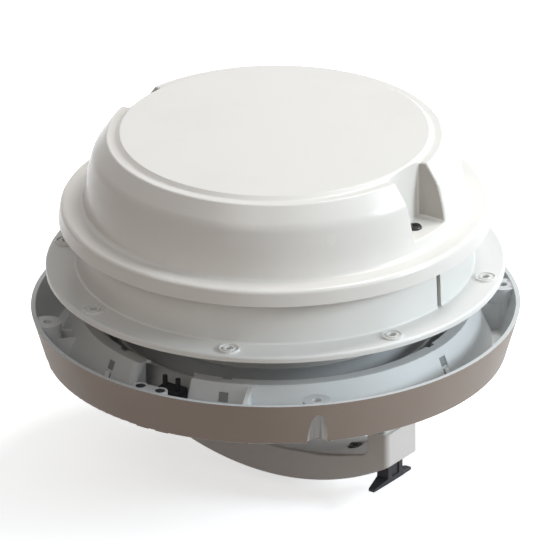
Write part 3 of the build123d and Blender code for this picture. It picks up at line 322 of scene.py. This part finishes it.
@dataclass
class SubAssembly:
    """Pieces of the vent that belong together and ride on one or more of its bodies."""

    crease: float = 24.0
    flat_angle: float = 0.6
    most_sides: int = 4
    merge_gap: float = 0.002 * MM

    def link(self, name: str, mesh: bpy.types.Mesh, body: str, node: str) -> bpy.types.Object:
        """Put a piece in the scene in the place of a CAD node.

        Args:
            name: the new piece's name.
            mesh: its mesh, with its place in it.
            body: the body that it rides on.
            node: the CAD node that it stands for; not used.

        Returns:
            The piece.
        """
        piece = bpy.data.objects.new(name, mesh)
        bpy.context.scene.collection.objects.link(piece)
        even = piece.modifiers.new("even_shading", "WEIGHTED_NORMAL")
        even.keep_sharp = True
        even.mode = "FACE_AREA_WITH_ANGLE"
        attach(piece, body)
        return piece

    def dress(self, node: str, finish: Finish) -> bpy.types.Object:
        """Stand a merged, smoothly shaded copy of a CAD node in its place.

        Args:
            node: the CAD node's name.
            finish: its finish.

        Returns:
            The new piece.
        """
        source = frame["nodes"][node]
        mesh = source.data.copy()
        sculpt = bmesh.new()
        sculpt.from_mesh(mesh)
        bmesh.ops.remove_doubles(sculpt, verts=sculpt.verts, dist=self.merge_gap)
        bmesh.ops.dissolve_limit(sculpt, angle_limit=math.radians(self.flat_angle),
                                 verts=sculpt.verts, edges=sculpt.edges)
        bmesh.ops.triangulate(sculpt, faces=[
            face for face in sculpt.faces if len(face.verts) > self.most_sides])
        sculpt.to_mesh(mesh)
        sculpt.free()
        mesh.materials.clear()
        mesh.materials.append(finish.material())
        mesh.shade_smooth()
        mesh.set_sharp_from_angle(angle=math.radians(self.crease))
        piece = self.link(f"{node}_skin", mesh, source["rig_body"], node)
        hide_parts(node)
        logger.info("dressed %s with %s", node, finish.name)
        return piece

    def mould(self, name: str, sculpt: bmesh.types.BMesh, finish: Finish,
              node: str) -> bpy.types.Object:
        """Turn a modelled mesh into a piece that rides with a CAD node.

        Args:
            name: the new piece's name.
            sculpt: the modelled mesh, which is freed.
            finish: its finish.
            node: the CAD node whose body it takes.

        Returns:
            The new piece.
        """
        bmesh.ops.remove_doubles(sculpt, verts=sculpt.verts, dist=self.merge_gap)
        bmesh.ops.recalc_face_normals(sculpt, faces=sculpt.faces)
        mesh = bpy.data.meshes.new(name)
        sculpt.to_mesh(mesh)
        sculpt.free()
        mesh.materials.append(finish.material())
        mesh.shade_smooth()
        mesh.set_sharp_from_angle(angle=math.radians(self.crease))
        piece = self.link(name, mesh, frame["nodes"][node]["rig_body"], node)
        logger.info("modelled %s in %s", name, finish.name)
        return piece


@dataclass(frozen=True)
class PanScrew:
    """A pan head screw with a cross recess, modelled on the Z axis."""

    head_radius: float = 2.8 * MM
    head_height: float = 1.8 * MM
    head_round: float = 0.9 * MM
    shank_radius: float = 1.45 * MM
    tip_inset: float = 0.6 * MM
    recess_reach: float = 1.5 * MM
    recess_half_width: float = 0.36 * MM
    recess_depth: float = 1.0 * MM
    recess_taper: float = 0.45
    sides: int = 36
    round_steps: int = 3
    same_level: float = 0.001 * MM
    cut_gap: float = 0.0001 * MM

    def model(self, seat: float, tip: float) -> bpy.types.Mesh:
        """Model the screw upright, or upside down where its tip is above its seat.

        Args:
            seat: the level of the head's underside.
            tip: the level of the point.

        Returns:
            The screw's mesh.
        """
        up = 1.0 if seat > tip else -1.0
        sculpt = bmesh.new()
        made = bmesh.ops.create_circle(sculpt, cap_ends=True, segments=self.sides,
                                       radius=self.shank_radius - self.tip_inset)
        bmesh.ops.translate(sculpt, verts=made["verts"], vec=(0.0, 0.0, tip))
        face = sculpt.faces[:][0]
        crown = seat + up * self.head_height
        shoulder = crown - up * self.head_round
        for radius, level in ((self.shank_radius, tip + up * self.tip_inset),
                              (self.shank_radius, seat), (self.head_radius, seat),
                              (self.head_radius, shoulder),
                              (self.head_radius - self.head_round, crown)):
            face = self.step_up(sculpt, face, radius, level)
        rim = [edge for edge in sculpt.edges
               if all(abs(vert.co.z - shoulder) < self.same_level for vert in edge.verts)]
        soften(sculpt, rim, self.head_round / 2, self.round_steps)
        self.sink_cross(sculpt, crown, up)
        open_edges = [edge for edge in sculpt.edges if edge.is_boundary]
        bmesh.ops.holes_fill(sculpt, edges=open_edges)
        mesh = bpy.data.meshes.new("pan_screw")
        sculpt.to_mesh(mesh)
        sculpt.free()
        return mesh

    def step_up(self, sculpt: bmesh.types.BMesh, face: bmesh.types.BMFace, radius: float,
                level: float) -> bmesh.types.BMFace:
        """Extrude the round face at the end of the screw to a new radius and level.

        Args:
            sculpt: the mesh.
            face: the round face.
            radius: its new radius.
            level: its new level.

        Returns:
            The face at the new end.
        """
        scale = radius / face.verts[0].co.to_2d().length
        end = bmesh.ops.extrude_discrete_faces(sculpt, faces=[face])["faces"][0]
        bmesh.ops.scale(sculpt, verts=end.verts, vec=(scale, scale, 1.0))
        bmesh.ops.translate(sculpt, verts=end.verts, vec=(0.0, 0.0, level - end.verts[0].co.z))
        return end

    def sink_cross(self, sculpt: bmesh.types.BMesh, crown: float, up: float) -> None:
        """Sink the cross recess in the flat of the head.

        Args:
            sculpt: the mesh.
            crown: the level of the flat.
            up: 1 where the head points up, -1 where it points down.
        """
        def flat() -> list[bmesh.types.BMFace]:
            """List the faces of the flat as it is cut so far.

            Returns:
                The faces.
            """
            return [part for part in sculpt.faces
                    if all(abs(vert.co.z - crown) < self.same_level for vert in part.verts)]

        for normal in (Vector((1.0, 0.0, 0.0)), Vector((0.0, 1.0, 0.0))):
            for reach in (-self.recess_reach, -self.recess_half_width, self.recess_half_width,
                          self.recess_reach):
                parts = flat()
                around = {item for part in parts for item in (*part.verts, *part.edges)}
                bmesh.ops.bisect_plane(sculpt, geom=[*parts, *around], dist=self.cut_gap,
                                       plane_co=normal * reach, plane_no=normal)
        cross = [part for part in flat()
                 if min(map(abs, part.calc_center_median().xy)) < self.recess_half_width
                 and max(map(abs, part.calc_center_median().xy)) < self.recess_reach]
        made = bmesh.ops.extrude_face_region(sculpt, geom=cross)["geom"]
        bmesh.ops.delete(sculpt, geom=[part for part in cross if part.is_valid], context="FACES")
        floor = [item for item in made if isinstance(item, bmesh.types.BMVert)]
        bmesh.ops.translate(sculpt, verts=floor, vec=(0.0, 0.0, -up * self.recess_depth))
        bmesh.ops.scale(sculpt, verts=floor, vec=(self.recess_taper, self.recess_taper, 1.0))


@dataclass
class ScrewSet(SubAssembly):
    """All the screws of one CAD node, modelled with their recesses."""

    node: str = ""
    places: tuple[Pair, ...] = ()
    head_up: bool = True
    finish: Finish = STEEL
    screw: PanScrew = PanScrew()

    def build(self) -> None:
        """Model the screws and stand them in for the node."""
        low, high = (corner.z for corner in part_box(self.node))
        if self.head_up:
            pattern = self.screw.model(high - self.screw.head_height, low)
        else:
            pattern = self.screw.model(low + self.screw.head_height, high)
        piece = self.mould(f"{self.node}_cross", repeat(pattern, self.places), self.finish,
                           self.node)
        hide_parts(self.node)


@dataclass
class Lid(SubAssembly):
    """The domed lid, its seal, the beam under it and the stems that lift it."""

    screw_x: float = 93.5 * MM
    stem_x: float = 71.2 * MM
    notch_inside: float = 86.0 * MM
    notch_half_width: float = 15.0 * MM
    notch_corner: float = 3.0 * MM
    notch_edge: float = 1.2 * MM
    notch_margin: float = 0.05 * MM
    least_sideways: float = 0.6
    most_upwards: float = 0.35
    screw: PanScrew = PanScrew(head_radius=3.9 * MM, recess_reach=2.1 * MM,
                               recess_half_width=0.45 * MM)

    def build(self) -> None:
        """Dress the lid's pieces and model its screws."""
        lid = self.dress("dome_lid", DOME)
        self.shade_notch_walls(lid.data)
        self.dress("lid_seal", RUBBER)
        self.dress("lid_carrier", BASE)
        self.dress("lift_stems", BASE)
        ScrewSet(node="lid_screws", places=((self.screw_x, 0.0), (-self.screw_x, 0.0)),
                 finish=DARK_STEEL, screw=self.screw).build()
        ScrewSet(node="stem_screws", places=((self.stem_x, 0.0), (-self.stem_x, 0.0))).build()

    def shade_notch_walls(self, mesh: bpy.types.Mesh) -> None:
        """Paint shade on the side walls of the lid's notches, with a greyer material.

        Args:
            mesh: the dressed lid's mesh.
        """
        mesh.materials.append(NOTCH_PAINTED_SHADE.material())
        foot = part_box("lid_screws")[1].z - self.screw.head_height + self.notch_edge
        nearest = self.notch_half_width - self.notch_corner
        farthest = self.notch_half_width + self.notch_margin
        # painted shade: the upright side-wall faces inside each notch take the greyer material
        for face in mesh.polygons:
            along, across, level = face.center
            inside = nearest < abs(across) < farthest and abs(along) > self.notch_inside
            upright = (abs(face.normal.y) > self.least_sideways
                       and abs(face.normal.z) < self.most_upwards)
            if inside and upright and level > foot:
                face.material_index = PAINTED_SHADE_SLOT


@dataclass
class RoofBase(SubAssembly):
    """The flange with its screw rings, collar and throat, and the gasket under it."""

    flange_top: float = 3.4 * MM
    ring_circle: float = 118.4 * MM
    ring_count: int = 8
    ring_radius: float = 5.9 * MM
    ring_height: float = 1.2 * MM
    ring_sink: float = 0.2 * MM
    ring_round: float = 0.22 * MM
    groove_radius: float = 4.9 * MM
    groove_width: float = 1.3 * MM
    groove_floor: float = 0.25 * MM
    hole_radius: float = 2.2 * MM
    ring_steps: int = 64
    round_steps: int = 3

    def build(self) -> None:
        """Dress the base and its gasket, and model the screw rings."""
        base = self.dress("roof_base", BASE)
        centres = [Matrix.Rotation(2 * math.pi * (index + 0.5) / self.ring_count, 2)
                   @ Vector((self.ring_circle, 0.0)) for index in range(self.ring_count)]
        self.level_plain_rings(base.data, centres)
        self.add_rings(centres)
        self.dress("flange_gasket", GASKET)

    def level_plain_rings(self, mesh: bpy.types.Mesh, centres: list[Vector]) -> None:
        """Bring the plain rings of the dressed flange down to its top, under the new ones.

        Args:
            mesh: the dressed flange's mesh.
            centres: the middle of each ring.
        """
        for vert in mesh.vertices:
            near = min((vert.co.to_2d() - centre).length for centre in centres) < self.ring_radius
            if near and vert.co.z > self.flange_top:
                vert.co.z = self.flange_top

    def add_rings(self, centres: list[Vector]) -> None:
        """Model the grooved rings that the flange's screws go through.

        Args:
            centres: the middle of each ring.
        """
        inner = self.groove_radius - self.groove_width
        section = ((self.hole_radius, -self.ring_sink), (self.hole_radius, self.ring_height),
                   (inner, self.ring_height), (inner, self.groove_floor),
                   (self.groove_radius, self.groove_floor), (self.groove_radius, self.ring_height),
                   (self.ring_radius, self.ring_height), (self.ring_radius, -self.ring_sink))
        sculpt = bmesh.new()
        corners = [sculpt.verts.new((radius, 0.0, self.flange_top + level))
                   for radius, level in section]
        for index, corner in enumerate(corners):
            sculpt.edges.new((corner, corners[(index + 1) % len(corners)]))
        bmesh.ops.spin(sculpt, geom=sculpt.verts[:] + sculpt.edges[:], cent=(0.0, 0.0, 0.0),
                       axis=(0.0, 0.0, 1.0), angle=2 * math.pi, steps=self.ring_steps,
                       use_merge=True)
        crown = self.flange_top + self.ring_height
        rims = [edge for edge in sculpt.edges
                if all(abs(vert.co.z - crown) < self.merge_gap for vert in edge.verts)
                and abs(edge.verts[0].co.length - edge.verts[1].co.length) < self.merge_gap]
        soften(sculpt, rims, self.ring_round, self.round_steps)
        pattern = bpy.data.meshes.new("screw_ring")
        sculpt.to_mesh(pattern)
        sculpt.free()
        places = tuple((centre.x, centre.y) for centre in centres)
        self.mould("flange_rings", repeat(pattern, places), BASE, "roof_base")


@dataclass
class FanUnit(SubAssembly):
    """The shroud, the motor, the fan and the screen under them."""

    motor_screw_x: float = 12.5 * MM
    shroud_screw_circle: float = 82.4 * MM
    shroud_screw_start: float = 45.0
    shroud_screw_count: int = 4

    def build(self) -> None:
        """Dress the fan unit and model its screws."""
        for node, finish in (("fan_shroud", FAN), ("guide_bushes", BLACK), ("motor_can", ZINC),
                             ("motor_bush", BRASS), ("motor_shaft", STEEL), ("fan_impeller", FAN),
                             ("fan_nut", STEEL), ("insect_screen", SCREEN)):
            self.dress(node, finish)
        turns = [math.radians(self.shroud_screw_start + 360.0 * index / self.shroud_screw_count)
                 for index in range(self.shroud_screw_count)]
        ScrewSet(node="shroud_screws", places=tuple(
            (self.shroud_screw_circle * math.cos(turn), self.shroud_screw_circle * math.sin(turn))
            for turn in turns)).build()
        ScrewSet(node="motor_screws", head_up=False,
                 places=((self.motor_screw_x, 0.0), (-self.motor_screw_x, 0.0))).build()


@dataclass
class CeilingTrim(SubAssembly):
    """The trim ring, the sleeve between it and the throat, and the terminal block in its gap."""

    wall_inside: float = 126.0 * MM
    least_outwards: float = 0.8
    rim_level: float = -22.5 * MM
    cone_top: Pair = (109.0 * MM, -21.5 * MM)
    cone_foot: Pair = (119.5 * MM, -46.2 * MM)
    tongue_angles: tuple[float, ...] = (0.0, 180.0, 251.0)
    tongue_size: Triple = (2.0 * MM, 2.9 * MM, 7.6 * MM)
    tongue_level: float = -35.9 * MM
    slot_size: Triple = (0.5 * MM, 5.0 * MM, 7.8 * MM)
    slot_depth: float = 0.12 * MM
    window_angles: tuple[float, ...] = (0.0, 70.0, 110.0, 180.0, 251.0, 290.0)
    window_size: Triple = (0.5 * MM, 5.3 * MM, 5.7 * MM)
    window_level: float = -29.05 * MM
    window_depth: float = 1.05 * MM
    edge_round: float = 0.2 * MM
    edge_steps: int = 2
    rib_angle: float = 297.5
    rib_ends: Pair = (109.8 * MM, 132.2 * MM)
    rib_width: float = 2.5 * MM
    rib_below_rim: float = 0.1 * MM
    rib_cap: float = 0.8 * MM
    # Dark discs in the twin bosses' holes, as painted shade.
    socket_angles: Pair = (269.8, 275.4)
    socket_circle: float = 128.6 * MM
    socket_radius: float = 2.88 * MM
    socket_below_rim: float = 0.6 * MM
    socket_depth: float = 1.0 * MM
    socket_rim: float = 1.0 * MM
    socket_dish: float = 0.5 * MM
    socket_sides: int = 32
    web_width: float = 7.6 * MM
    web_clear: float = 0.5 * MM
    web_depth: float = 2.4 * MM
    web_below_rim: float = 0.36 * MM

    def build(self) -> None:
        """Dress the trim, with painted shade on its outer wall, and model the small parts on it.
        """
        trim = self.dress("ceiling_trim", TRIM)
        self.paint_wall_shade(trim.data)
        self.dress("throat_sleeve", SLEEVE)
        self.dress("terminal_block", BLACK)
        self.dress("terminal_posts", BLACK)
        # dark strips beside the tongues, as painted shade in the slots
        self.add_blocks("tongue_slot_shade", self.tongue_angles, self.slot_size, self.tongue_level,
                        self.slot_depth, PANE_PAINTED_SHADE)
        # pale tongues, partly painted highlight
        self.add_blocks("slot_tongues", self.tongue_angles, self.tongue_size, self.tongue_level,
                        0.0, CLIP_PAINTED_HIGHLIGHT)
        # dark sheets in the windows, as painted shade in the recesses
        self.add_blocks("window_pane_shade", self.window_angles, self.window_size, self.window_level,
                        self.window_depth, PANE_PAINTED_SHADE)
        self.add_rib_cap()
        self.add_hole_shade()
        self.add_web()

    def paint_wall_shade(self, mesh: bpy.types.Mesh) -> None:
        """Paint shade on the trim's outer wall, with a darker brown material.

        Args:
            mesh: the dressed trim's mesh.
        """
        # painted shade: the outward faces of the outer wall take the dark brown material
        mesh.materials.append(TRIM_WALL_PAINTED_SHADE.material())
        for face in mesh.polygons:
            middle = face.center.to_2d()
            outwards = middle.normalized().dot(face.normal.to_2d())
            if outwards > self.least_outwards and middle.length > self.wall_inside:
                face.material_index = PAINTED_SHADE_SLOT

    def add_blocks(self, name: str, angles: tuple[float, ...], size: Triple, level: float,
                   depth: float, finish: Finish) -> None:
        """Model small blocks that lean with the wall of the cone.

        Args:
            name: the piece's name.
            angles: where the blocks stand round the ring.
            size: their thickness, width and height.
            level: the level of their middle.
            depth: how far their middle lies inside the wall's face.
            finish: their finish.
        """
        slope = (self.cone_foot[0] - self.cone_top[0]) / (self.cone_top[1] - self.cone_foot[1])
        radius = self.cone_top[0] + (self.cone_top[1] - level) * slope - depth
        sculpt = bmesh.new()
        for angle in angles:
            self.set_block(sculpt, size, (radius, level), math.radians(angle), -math.atan(slope))
        soften(sculpt, sculpt.edges[:], self.edge_round, self.edge_steps)
        self.mould(name, sculpt, finish, "ceiling_trim")

    def set_block(self, sculpt: bmesh.types.BMesh, size: Triple, middle: Pair, turn: float,
                  lean: float = 0.0) -> None:
        """Add a block that faces the vent's axis.

        Args:
            sculpt: the mesh to add it to.
            size: its thickness, width and height.
            middle: the radius and the level of its middle.
            turn: where it stands round the ring, in radians.
            lean: how far it leans towards the axis, in radians.
        """
        made = bmesh.ops.create_cube(sculpt, size=1.0)["verts"]
        bmesh.ops.scale(sculpt, verts=made, vec=size)
        bmesh.ops.rotate(sculpt, verts=made, matrix=Matrix.Rotation(lean, 3, "Y"))
        bmesh.ops.translate(sculpt, verts=made, vec=(middle[0], 0.0, middle[1]))
        bmesh.ops.rotate(sculpt, verts=made, matrix=Matrix.Rotation(turn, 3, "Z"))

    def add_rib_cap(self) -> None:
        """Model the cap on the rib that crosses the channel, its pale colour a painted highlight
        on the rib's top.
        """
        start, end = self.rib_ends
        level = self.rim_level - self.rib_below_rim - self.rib_cap / 2
        sculpt = bmesh.new()
        self.set_block(sculpt, (end - start, self.rib_width, self.rib_cap),
                       ((start + end) / 2, level), math.radians(self.rib_angle))
        soften(sculpt, sculpt.edges[:], self.edge_round / 2, self.edge_steps)
        self.mould("rib_cap", sculpt, CLIP_PAINTED_HIGHLIGHT, "ceiling_trim")

    def add_hole_shade(self) -> None:
        """Model dark discs in the holes of the twin bosses, as painted shade in the holes."""
        level = self.rim_level - self.socket_below_rim
        sculpt = bmesh.new()
        for angle in self.socket_angles:
            made = bmesh.ops.create_cone(
                sculpt, cap_ends=True, segments=self.socket_sides, radius1=self.socket_radius,
                radius2=self.socket_radius, depth=self.socket_depth)["verts"]
            bmesh.ops.translate(sculpt, verts=made, vec=(
                self.socket_circle, 0.0, level - self.socket_depth / 2))
            bmesh.ops.rotate(sculpt, verts=made,
                             matrix=Matrix.Rotation(math.radians(angle), 3, "Z"))
        caps = [face for face in sculpt.faces
                if all(abs(vert.co.z - level) < self.merge_gap for vert in face.verts)]
        bmesh.ops.inset_region(sculpt, faces=caps, thickness=self.socket_rim,
                               depth=-self.socket_dish, use_even_offset=True)
        # painted shade: the black discs stand for the shade in the boss holes
        self.mould("twin_hole_shade", sculpt, BLACK, "ceiling_trim")

    def add_web(self) -> None:
        """Model the web that joins the tops of the twin bosses."""
        turns = [math.radians(angle) for angle in self.socket_angles]
        spread = 2 * self.socket_circle * math.sin((turns[1] - turns[0]) / 2)
        length = spread - 2 * self.socket_radius - self.web_clear
        level = self.rim_level - self.web_below_rim - self.web_depth / 2
        sculpt = bmesh.new()
        self.set_block(sculpt, (self.web_width, length, self.web_depth),
                       (self.socket_circle, level), sum(turns) / 2)
        soften(sculpt, sculpt.edges[:], self.edge_round, self.edge_steps)
        self.mould("twin_web", sculpt, TRIM, "ceiling_trim")


@dataclass
class PressSpring(SubAssembly):
    """A coil spring that a latch presses against its stem's foot."""

    node: str = "latch_spring_right"
    joint: str = "latch_right_press"
    coil_radius: float = 2.7 * MM
    wire_radius: float = 0.45 * MM
    wire_sides: int = 10
    turns: int = 6
    steps: int = 24
    travel: float = 3.5 * MM

    def build(self) -> None:
        """Wind the spring in the place of its node."""
        low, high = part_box(self.node)
        middle = (low + high) / 2
        sculpt = bmesh.new()
        bmesh.ops.create_circle(sculpt, cap_ends=True, radius=self.wire_radius,
                                segments=self.wire_sides)
        bmesh.ops.rotate(sculpt, verts=sculpt.verts, matrix=Matrix.Rotation(math.pi / 2, 3, "X"))
        bmesh.ops.translate(sculpt, verts=sculpt.verts,
                            vec=(middle.x + self.coil_radius, middle.y, low.z + self.wire_radius))
        rise = high.z - low.z - 2 * self.wire_radius
        count = self.turns * self.steps
        bmesh.ops.spin(sculpt, geom=sculpt.faces[:] + sculpt.edges[:],
                       cent=(middle.x, middle.y, 0.0), axis=(0.0, 0.0, 1.0),
                       dvec=(0.0, 0.0, rise / count), angle=2 * math.pi * self.turns,
                       steps=count)
        open_edges = [edge for edge in sculpt.edges if edge.is_boundary]
        bmesh.ops.holes_fill(sculpt, edges=open_edges)
        piece = self.mould(f"{self.node}_coil", sculpt, STEEL, self.node)
        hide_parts(self.node)
        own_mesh(piece)


@dataclass
class Handle(SubAssembly):
    """The handle bar with its cover, the fan's switch and the two finger latches."""

    screw_x: float = 53.0 * MM
    foot_screw_x: float = 76.0 * MM
    foot_screw_y: float = 11.8 * MM
    screw: PanScrew = PanScrew(head_radius=4.3 * MM, recess_reach=2.4 * MM,
                               recess_half_width=0.5 * MM)

    def build(self) -> None:
        """Dress the handle's pieces, model its screws and wind its springs."""
        for node, finish in (("handle_bar", HANDLE), ("handle_cover", HANDLE),
                             ("switch_housing", BLACK), ("switch_rocker", BLACK),
                             ("latch_right", BLACK), ("latch_left", BLACK)):
            self.dress(node, finish)
        ScrewSet(node="handle_screws", places=((self.screw_x, 0.0), (-self.screw_x, 0.0)),
                 finish=DARK_STEEL, screw=self.screw).build()
        ScrewSet(node="foot_screws", places=tuple(
            (side * self.foot_screw_x, end * self.foot_screw_y)
            for side in (1.0, -1.0) for end in (1.0, -1.0))).build()
        for side in ("right", "left"):
            PressSpring(node=f"latch_spring_{side}", joint=f"latch_{side}_press").build()


@dataclass(frozen=True)
class Lamp:
    """A round soft lamp that points at the vent."""

    name: str
    spot: Triple
    size: float
    power: float
    colour: Colour

    def build(self) -> None:
        """Hang the lamp."""
        data = bpy.data.lights.new(self.name, "AREA")
        data.shape = "DISK"
        data.size = self.size
        data.energy = self.power
        data.color = self.colour
        lamp = bpy.data.objects.new(self.name, data)
        lamp.location = self.spot
        lamp.rotation_mode = "QUATERNION"
        lamp.rotation_quaternion = (-Vector(self.spot)).to_track_quat("-Z", "Y")
        bpy.context.scene.collection.objects.link(lamp)


@dataclass
class Studio:
    """Floor, light and camera round the vent."""

    azimuth: float = 35.0
    elevation: float = 25.0
    roll: float = -0.42
    distance: float = 12.0
    lens: float = 1425.6
    target_shift: float = -0.22 * MM
    target_height: float = -5.84 * MM
    sight: float = 50.0
    floor_gap: float = 1.0 * MM
    floor_size: float = 6.0
    floor_bounce: Colour = (0.26, 0.21, 0.175)
    floor_white: Colour = (0.93, 0.93, 0.93)
    floor_roughness: float = 0.9
    floor_lift: float = 0.62
    shade_colour: Colour = (0.25, 0.205, 0.17)
    sky_colour: Colour = (0.89, 0.95, 1.0)
    bright_side: Triple = (0.75, 0.35, 0.55)
    shade_edge: float = -0.55
    sky_edge: float = 0.75
    world_strength: float = 0.48
    lamps: tuple[Lamp, ...] = (
        Lamp("key", (1.93, 0.78, 0.85), 0.7, 31.0, (0.82, 0.93, 1.0)),
        Lamp("top", (0.25, 0.85, 1.8), 0.8, 18.5, (1.0, 0.99, 0.97)),
        Lamp("fill", (0.55, -1.9, 1.3), 1.2, 5.5, (1.0, 0.92, 0.83)),
    )

    def direction(self) -> Vector:
        """Point from the target towards the camera.

        Returns:
            A unit vector.
        """
        turn, rise = math.radians(self.azimuth), math.radians(self.elevation)
        return Vector((math.sin(turn) * math.cos(rise), -math.cos(turn) * math.cos(rise),
                       math.sin(rise)))

    def place_camera(self) -> None:
        """Put the camera where the photograph was taken from."""
        turn = math.radians(self.azimuth)
        right = Vector((math.cos(turn), math.sin(turn), 0.0))
        target = right * self.target_shift + Vector((0.0, 0.0, self.target_height))
        data = bpy.data.cameras.new("photo_camera")
        data.lens = self.lens
        data.clip_end = self.sight
        camera = bpy.data.objects.new("photo_camera", data)
        camera.location = target + self.direction() * self.distance
        look = (-self.direction()).to_track_quat("-Z", "Y").to_matrix()
        camera.rotation_mode = "QUATERNION"
        twist = Matrix.Rotation(math.radians(self.roll), 3, "Z")
        camera.rotation_quaternion = (look @ twist).to_quaternion()
        bpy.context.scene.collection.objects.link(camera)
        bpy.context.scene.camera = camera

    def background_rays(self, tree: bpy.types.NodeTree) -> bpy.types.NodeSocket:
        """Tell the rays that see the background from those that only carry light.

        Args:
            tree: the material's or the world's nodes.

        Returns:
            A value that is 1 for camera, glossy and transmission rays.
        """
        path = tree.nodes.new("ShaderNodeLightPath")
        found = path.outputs["Is Camera Ray"]
        for kind in ("Is Glossy Ray", "Is Transmission Ray"):
            either = tree.nodes.new("ShaderNodeMath")
            either.operation = "MAXIMUM"
            tree.links.new(found, either.inputs[0])
            tree.links.new(path.outputs[kind], either.inputs[1])
            found = either.outputs["Value"]
        return found

    def lay_floor(self) -> None:
        """Lay a pale floor under the handle, white to the eye and warm in the light it returns."""
        level = CAD_BOUNDS[0].z - self.floor_gap
        sculpt = bmesh.new()
        bmesh.ops.create_grid(sculpt, x_segments=1, y_segments=1, size=self.floor_size / 2)
        bmesh.ops.translate(sculpt, verts=sculpt.verts, vec=(0.0, 0.0, level))
        mesh = bpy.data.meshes.new("floor")
        sculpt.to_mesh(mesh)
        sculpt.free()
        material = bpy.data.materials.new("pale_floor")
        material.use_nodes = True
        nodes, links = material.node_tree.nodes, material.node_tree.links
        bounce = nodes["Principled BSDF"]
        bounce.inputs["Base Color"].default_value = (*self.floor_bounce, 1.0)
        bounce.inputs["Roughness"].default_value = self.floor_roughness
        seen = nodes.new("ShaderNodeBsdfPrincipled")
        seen.inputs["Base Color"].default_value = (*self.floor_white, 1.0)
        seen.inputs["Roughness"].default_value = self.floor_roughness
        seen.inputs["Specular IOR Level"].default_value = 0.0
        seen.inputs["Emission Color"].default_value = WHITE
        seen.inputs["Emission Strength"].default_value = self.floor_lift
        mix = nodes.new("ShaderNodeMixShader")
        links.new(self.background_rays(material.node_tree), mix.inputs["Fac"])
        links.new(bounce.outputs["BSDF"], mix.inputs[1])
        links.new(seen.outputs["BSDF"], mix.inputs[2])
        links.new(mix.outputs["Shader"], nodes["Material Output"].inputs["Surface"])
        mesh.materials.append(material)
        floor = bpy.data.objects.new("floor", mesh)
        bpy.context.scene.collection.objects.link(floor)

    def light(self) -> None:
        """Hang the lamps, and make a world that is bright on the key lamp's side."""
        for lamp in self.lamps:
            lamp.build()
        world = bpy.data.worlds.new("pale_world")
        world.use_nodes = True
        nodes, links = world.node_tree.nodes, world.node_tree.links
        place = nodes.new("ShaderNodeTexCoord")
        side = nodes.new("ShaderNodeVectorMath")
        side.operation = "DOT_PRODUCT"
        side.inputs[1].default_value = Vector(self.bright_side).normalized()
        reach = nodes.new("ShaderNodeMapRange")
        reach.interpolation_type = "SMOOTHSTEP"
        reach.inputs["From Min"].default_value = self.shade_edge
        reach.inputs["From Max"].default_value = self.sky_edge
        tint = nodes.new("ShaderNodeMix")
        tint.data_type = "RGBA"
        tint.inputs["A"].default_value = (*self.shade_colour, 1.0)
        tint.inputs["B"].default_value = (*self.sky_colour, 1.0)
        links.new(place.outputs["Generated"], side.inputs[0])
        links.new(side.outputs["Value"], reach.inputs["Value"])
        links.new(reach.outputs["Result"], tint.inputs["Factor"])
        sky = nodes["Background"]
        sky.inputs["Strength"].default_value = self.world_strength
        links.new(tint.outputs["Result"], sky.inputs["Color"])
        white = nodes.new("ShaderNodeBackground")
        white.inputs["Color"].default_value = WHITE
        white.inputs["Strength"].default_value = 1.0
        mix = nodes.new("ShaderNodeMixShader")
        links.new(self.background_rays(world.node_tree), mix.inputs["Fac"])
        links.new(sky.outputs["Background"], mix.inputs[1])
        links.new(white.outputs["Background"], mix.inputs[2])
        links.new(mix.outputs["Shader"], nodes["World Output"].inputs["Surface"])
        bpy.context.scene.world = world
        bpy.context.scene.view_settings.view_transform = "Standard"

    def build(self) -> None:
        """Make the whole studio."""
        self.place_camera()
        self.lay_floor()
        self.light()


def main() -> None:
    """Build every sub-assembly in order and report its pieces."""
    Studio().build()
    for part in (RoofBase(), Lid(), FanUnit(), CeilingTrim(), Handle()):
        part.build()
        logger.info("finished %s", type(part).__name__)


if __name__ == "__main__":
    logging.basicConfig(level=logging.INFO)
    main()
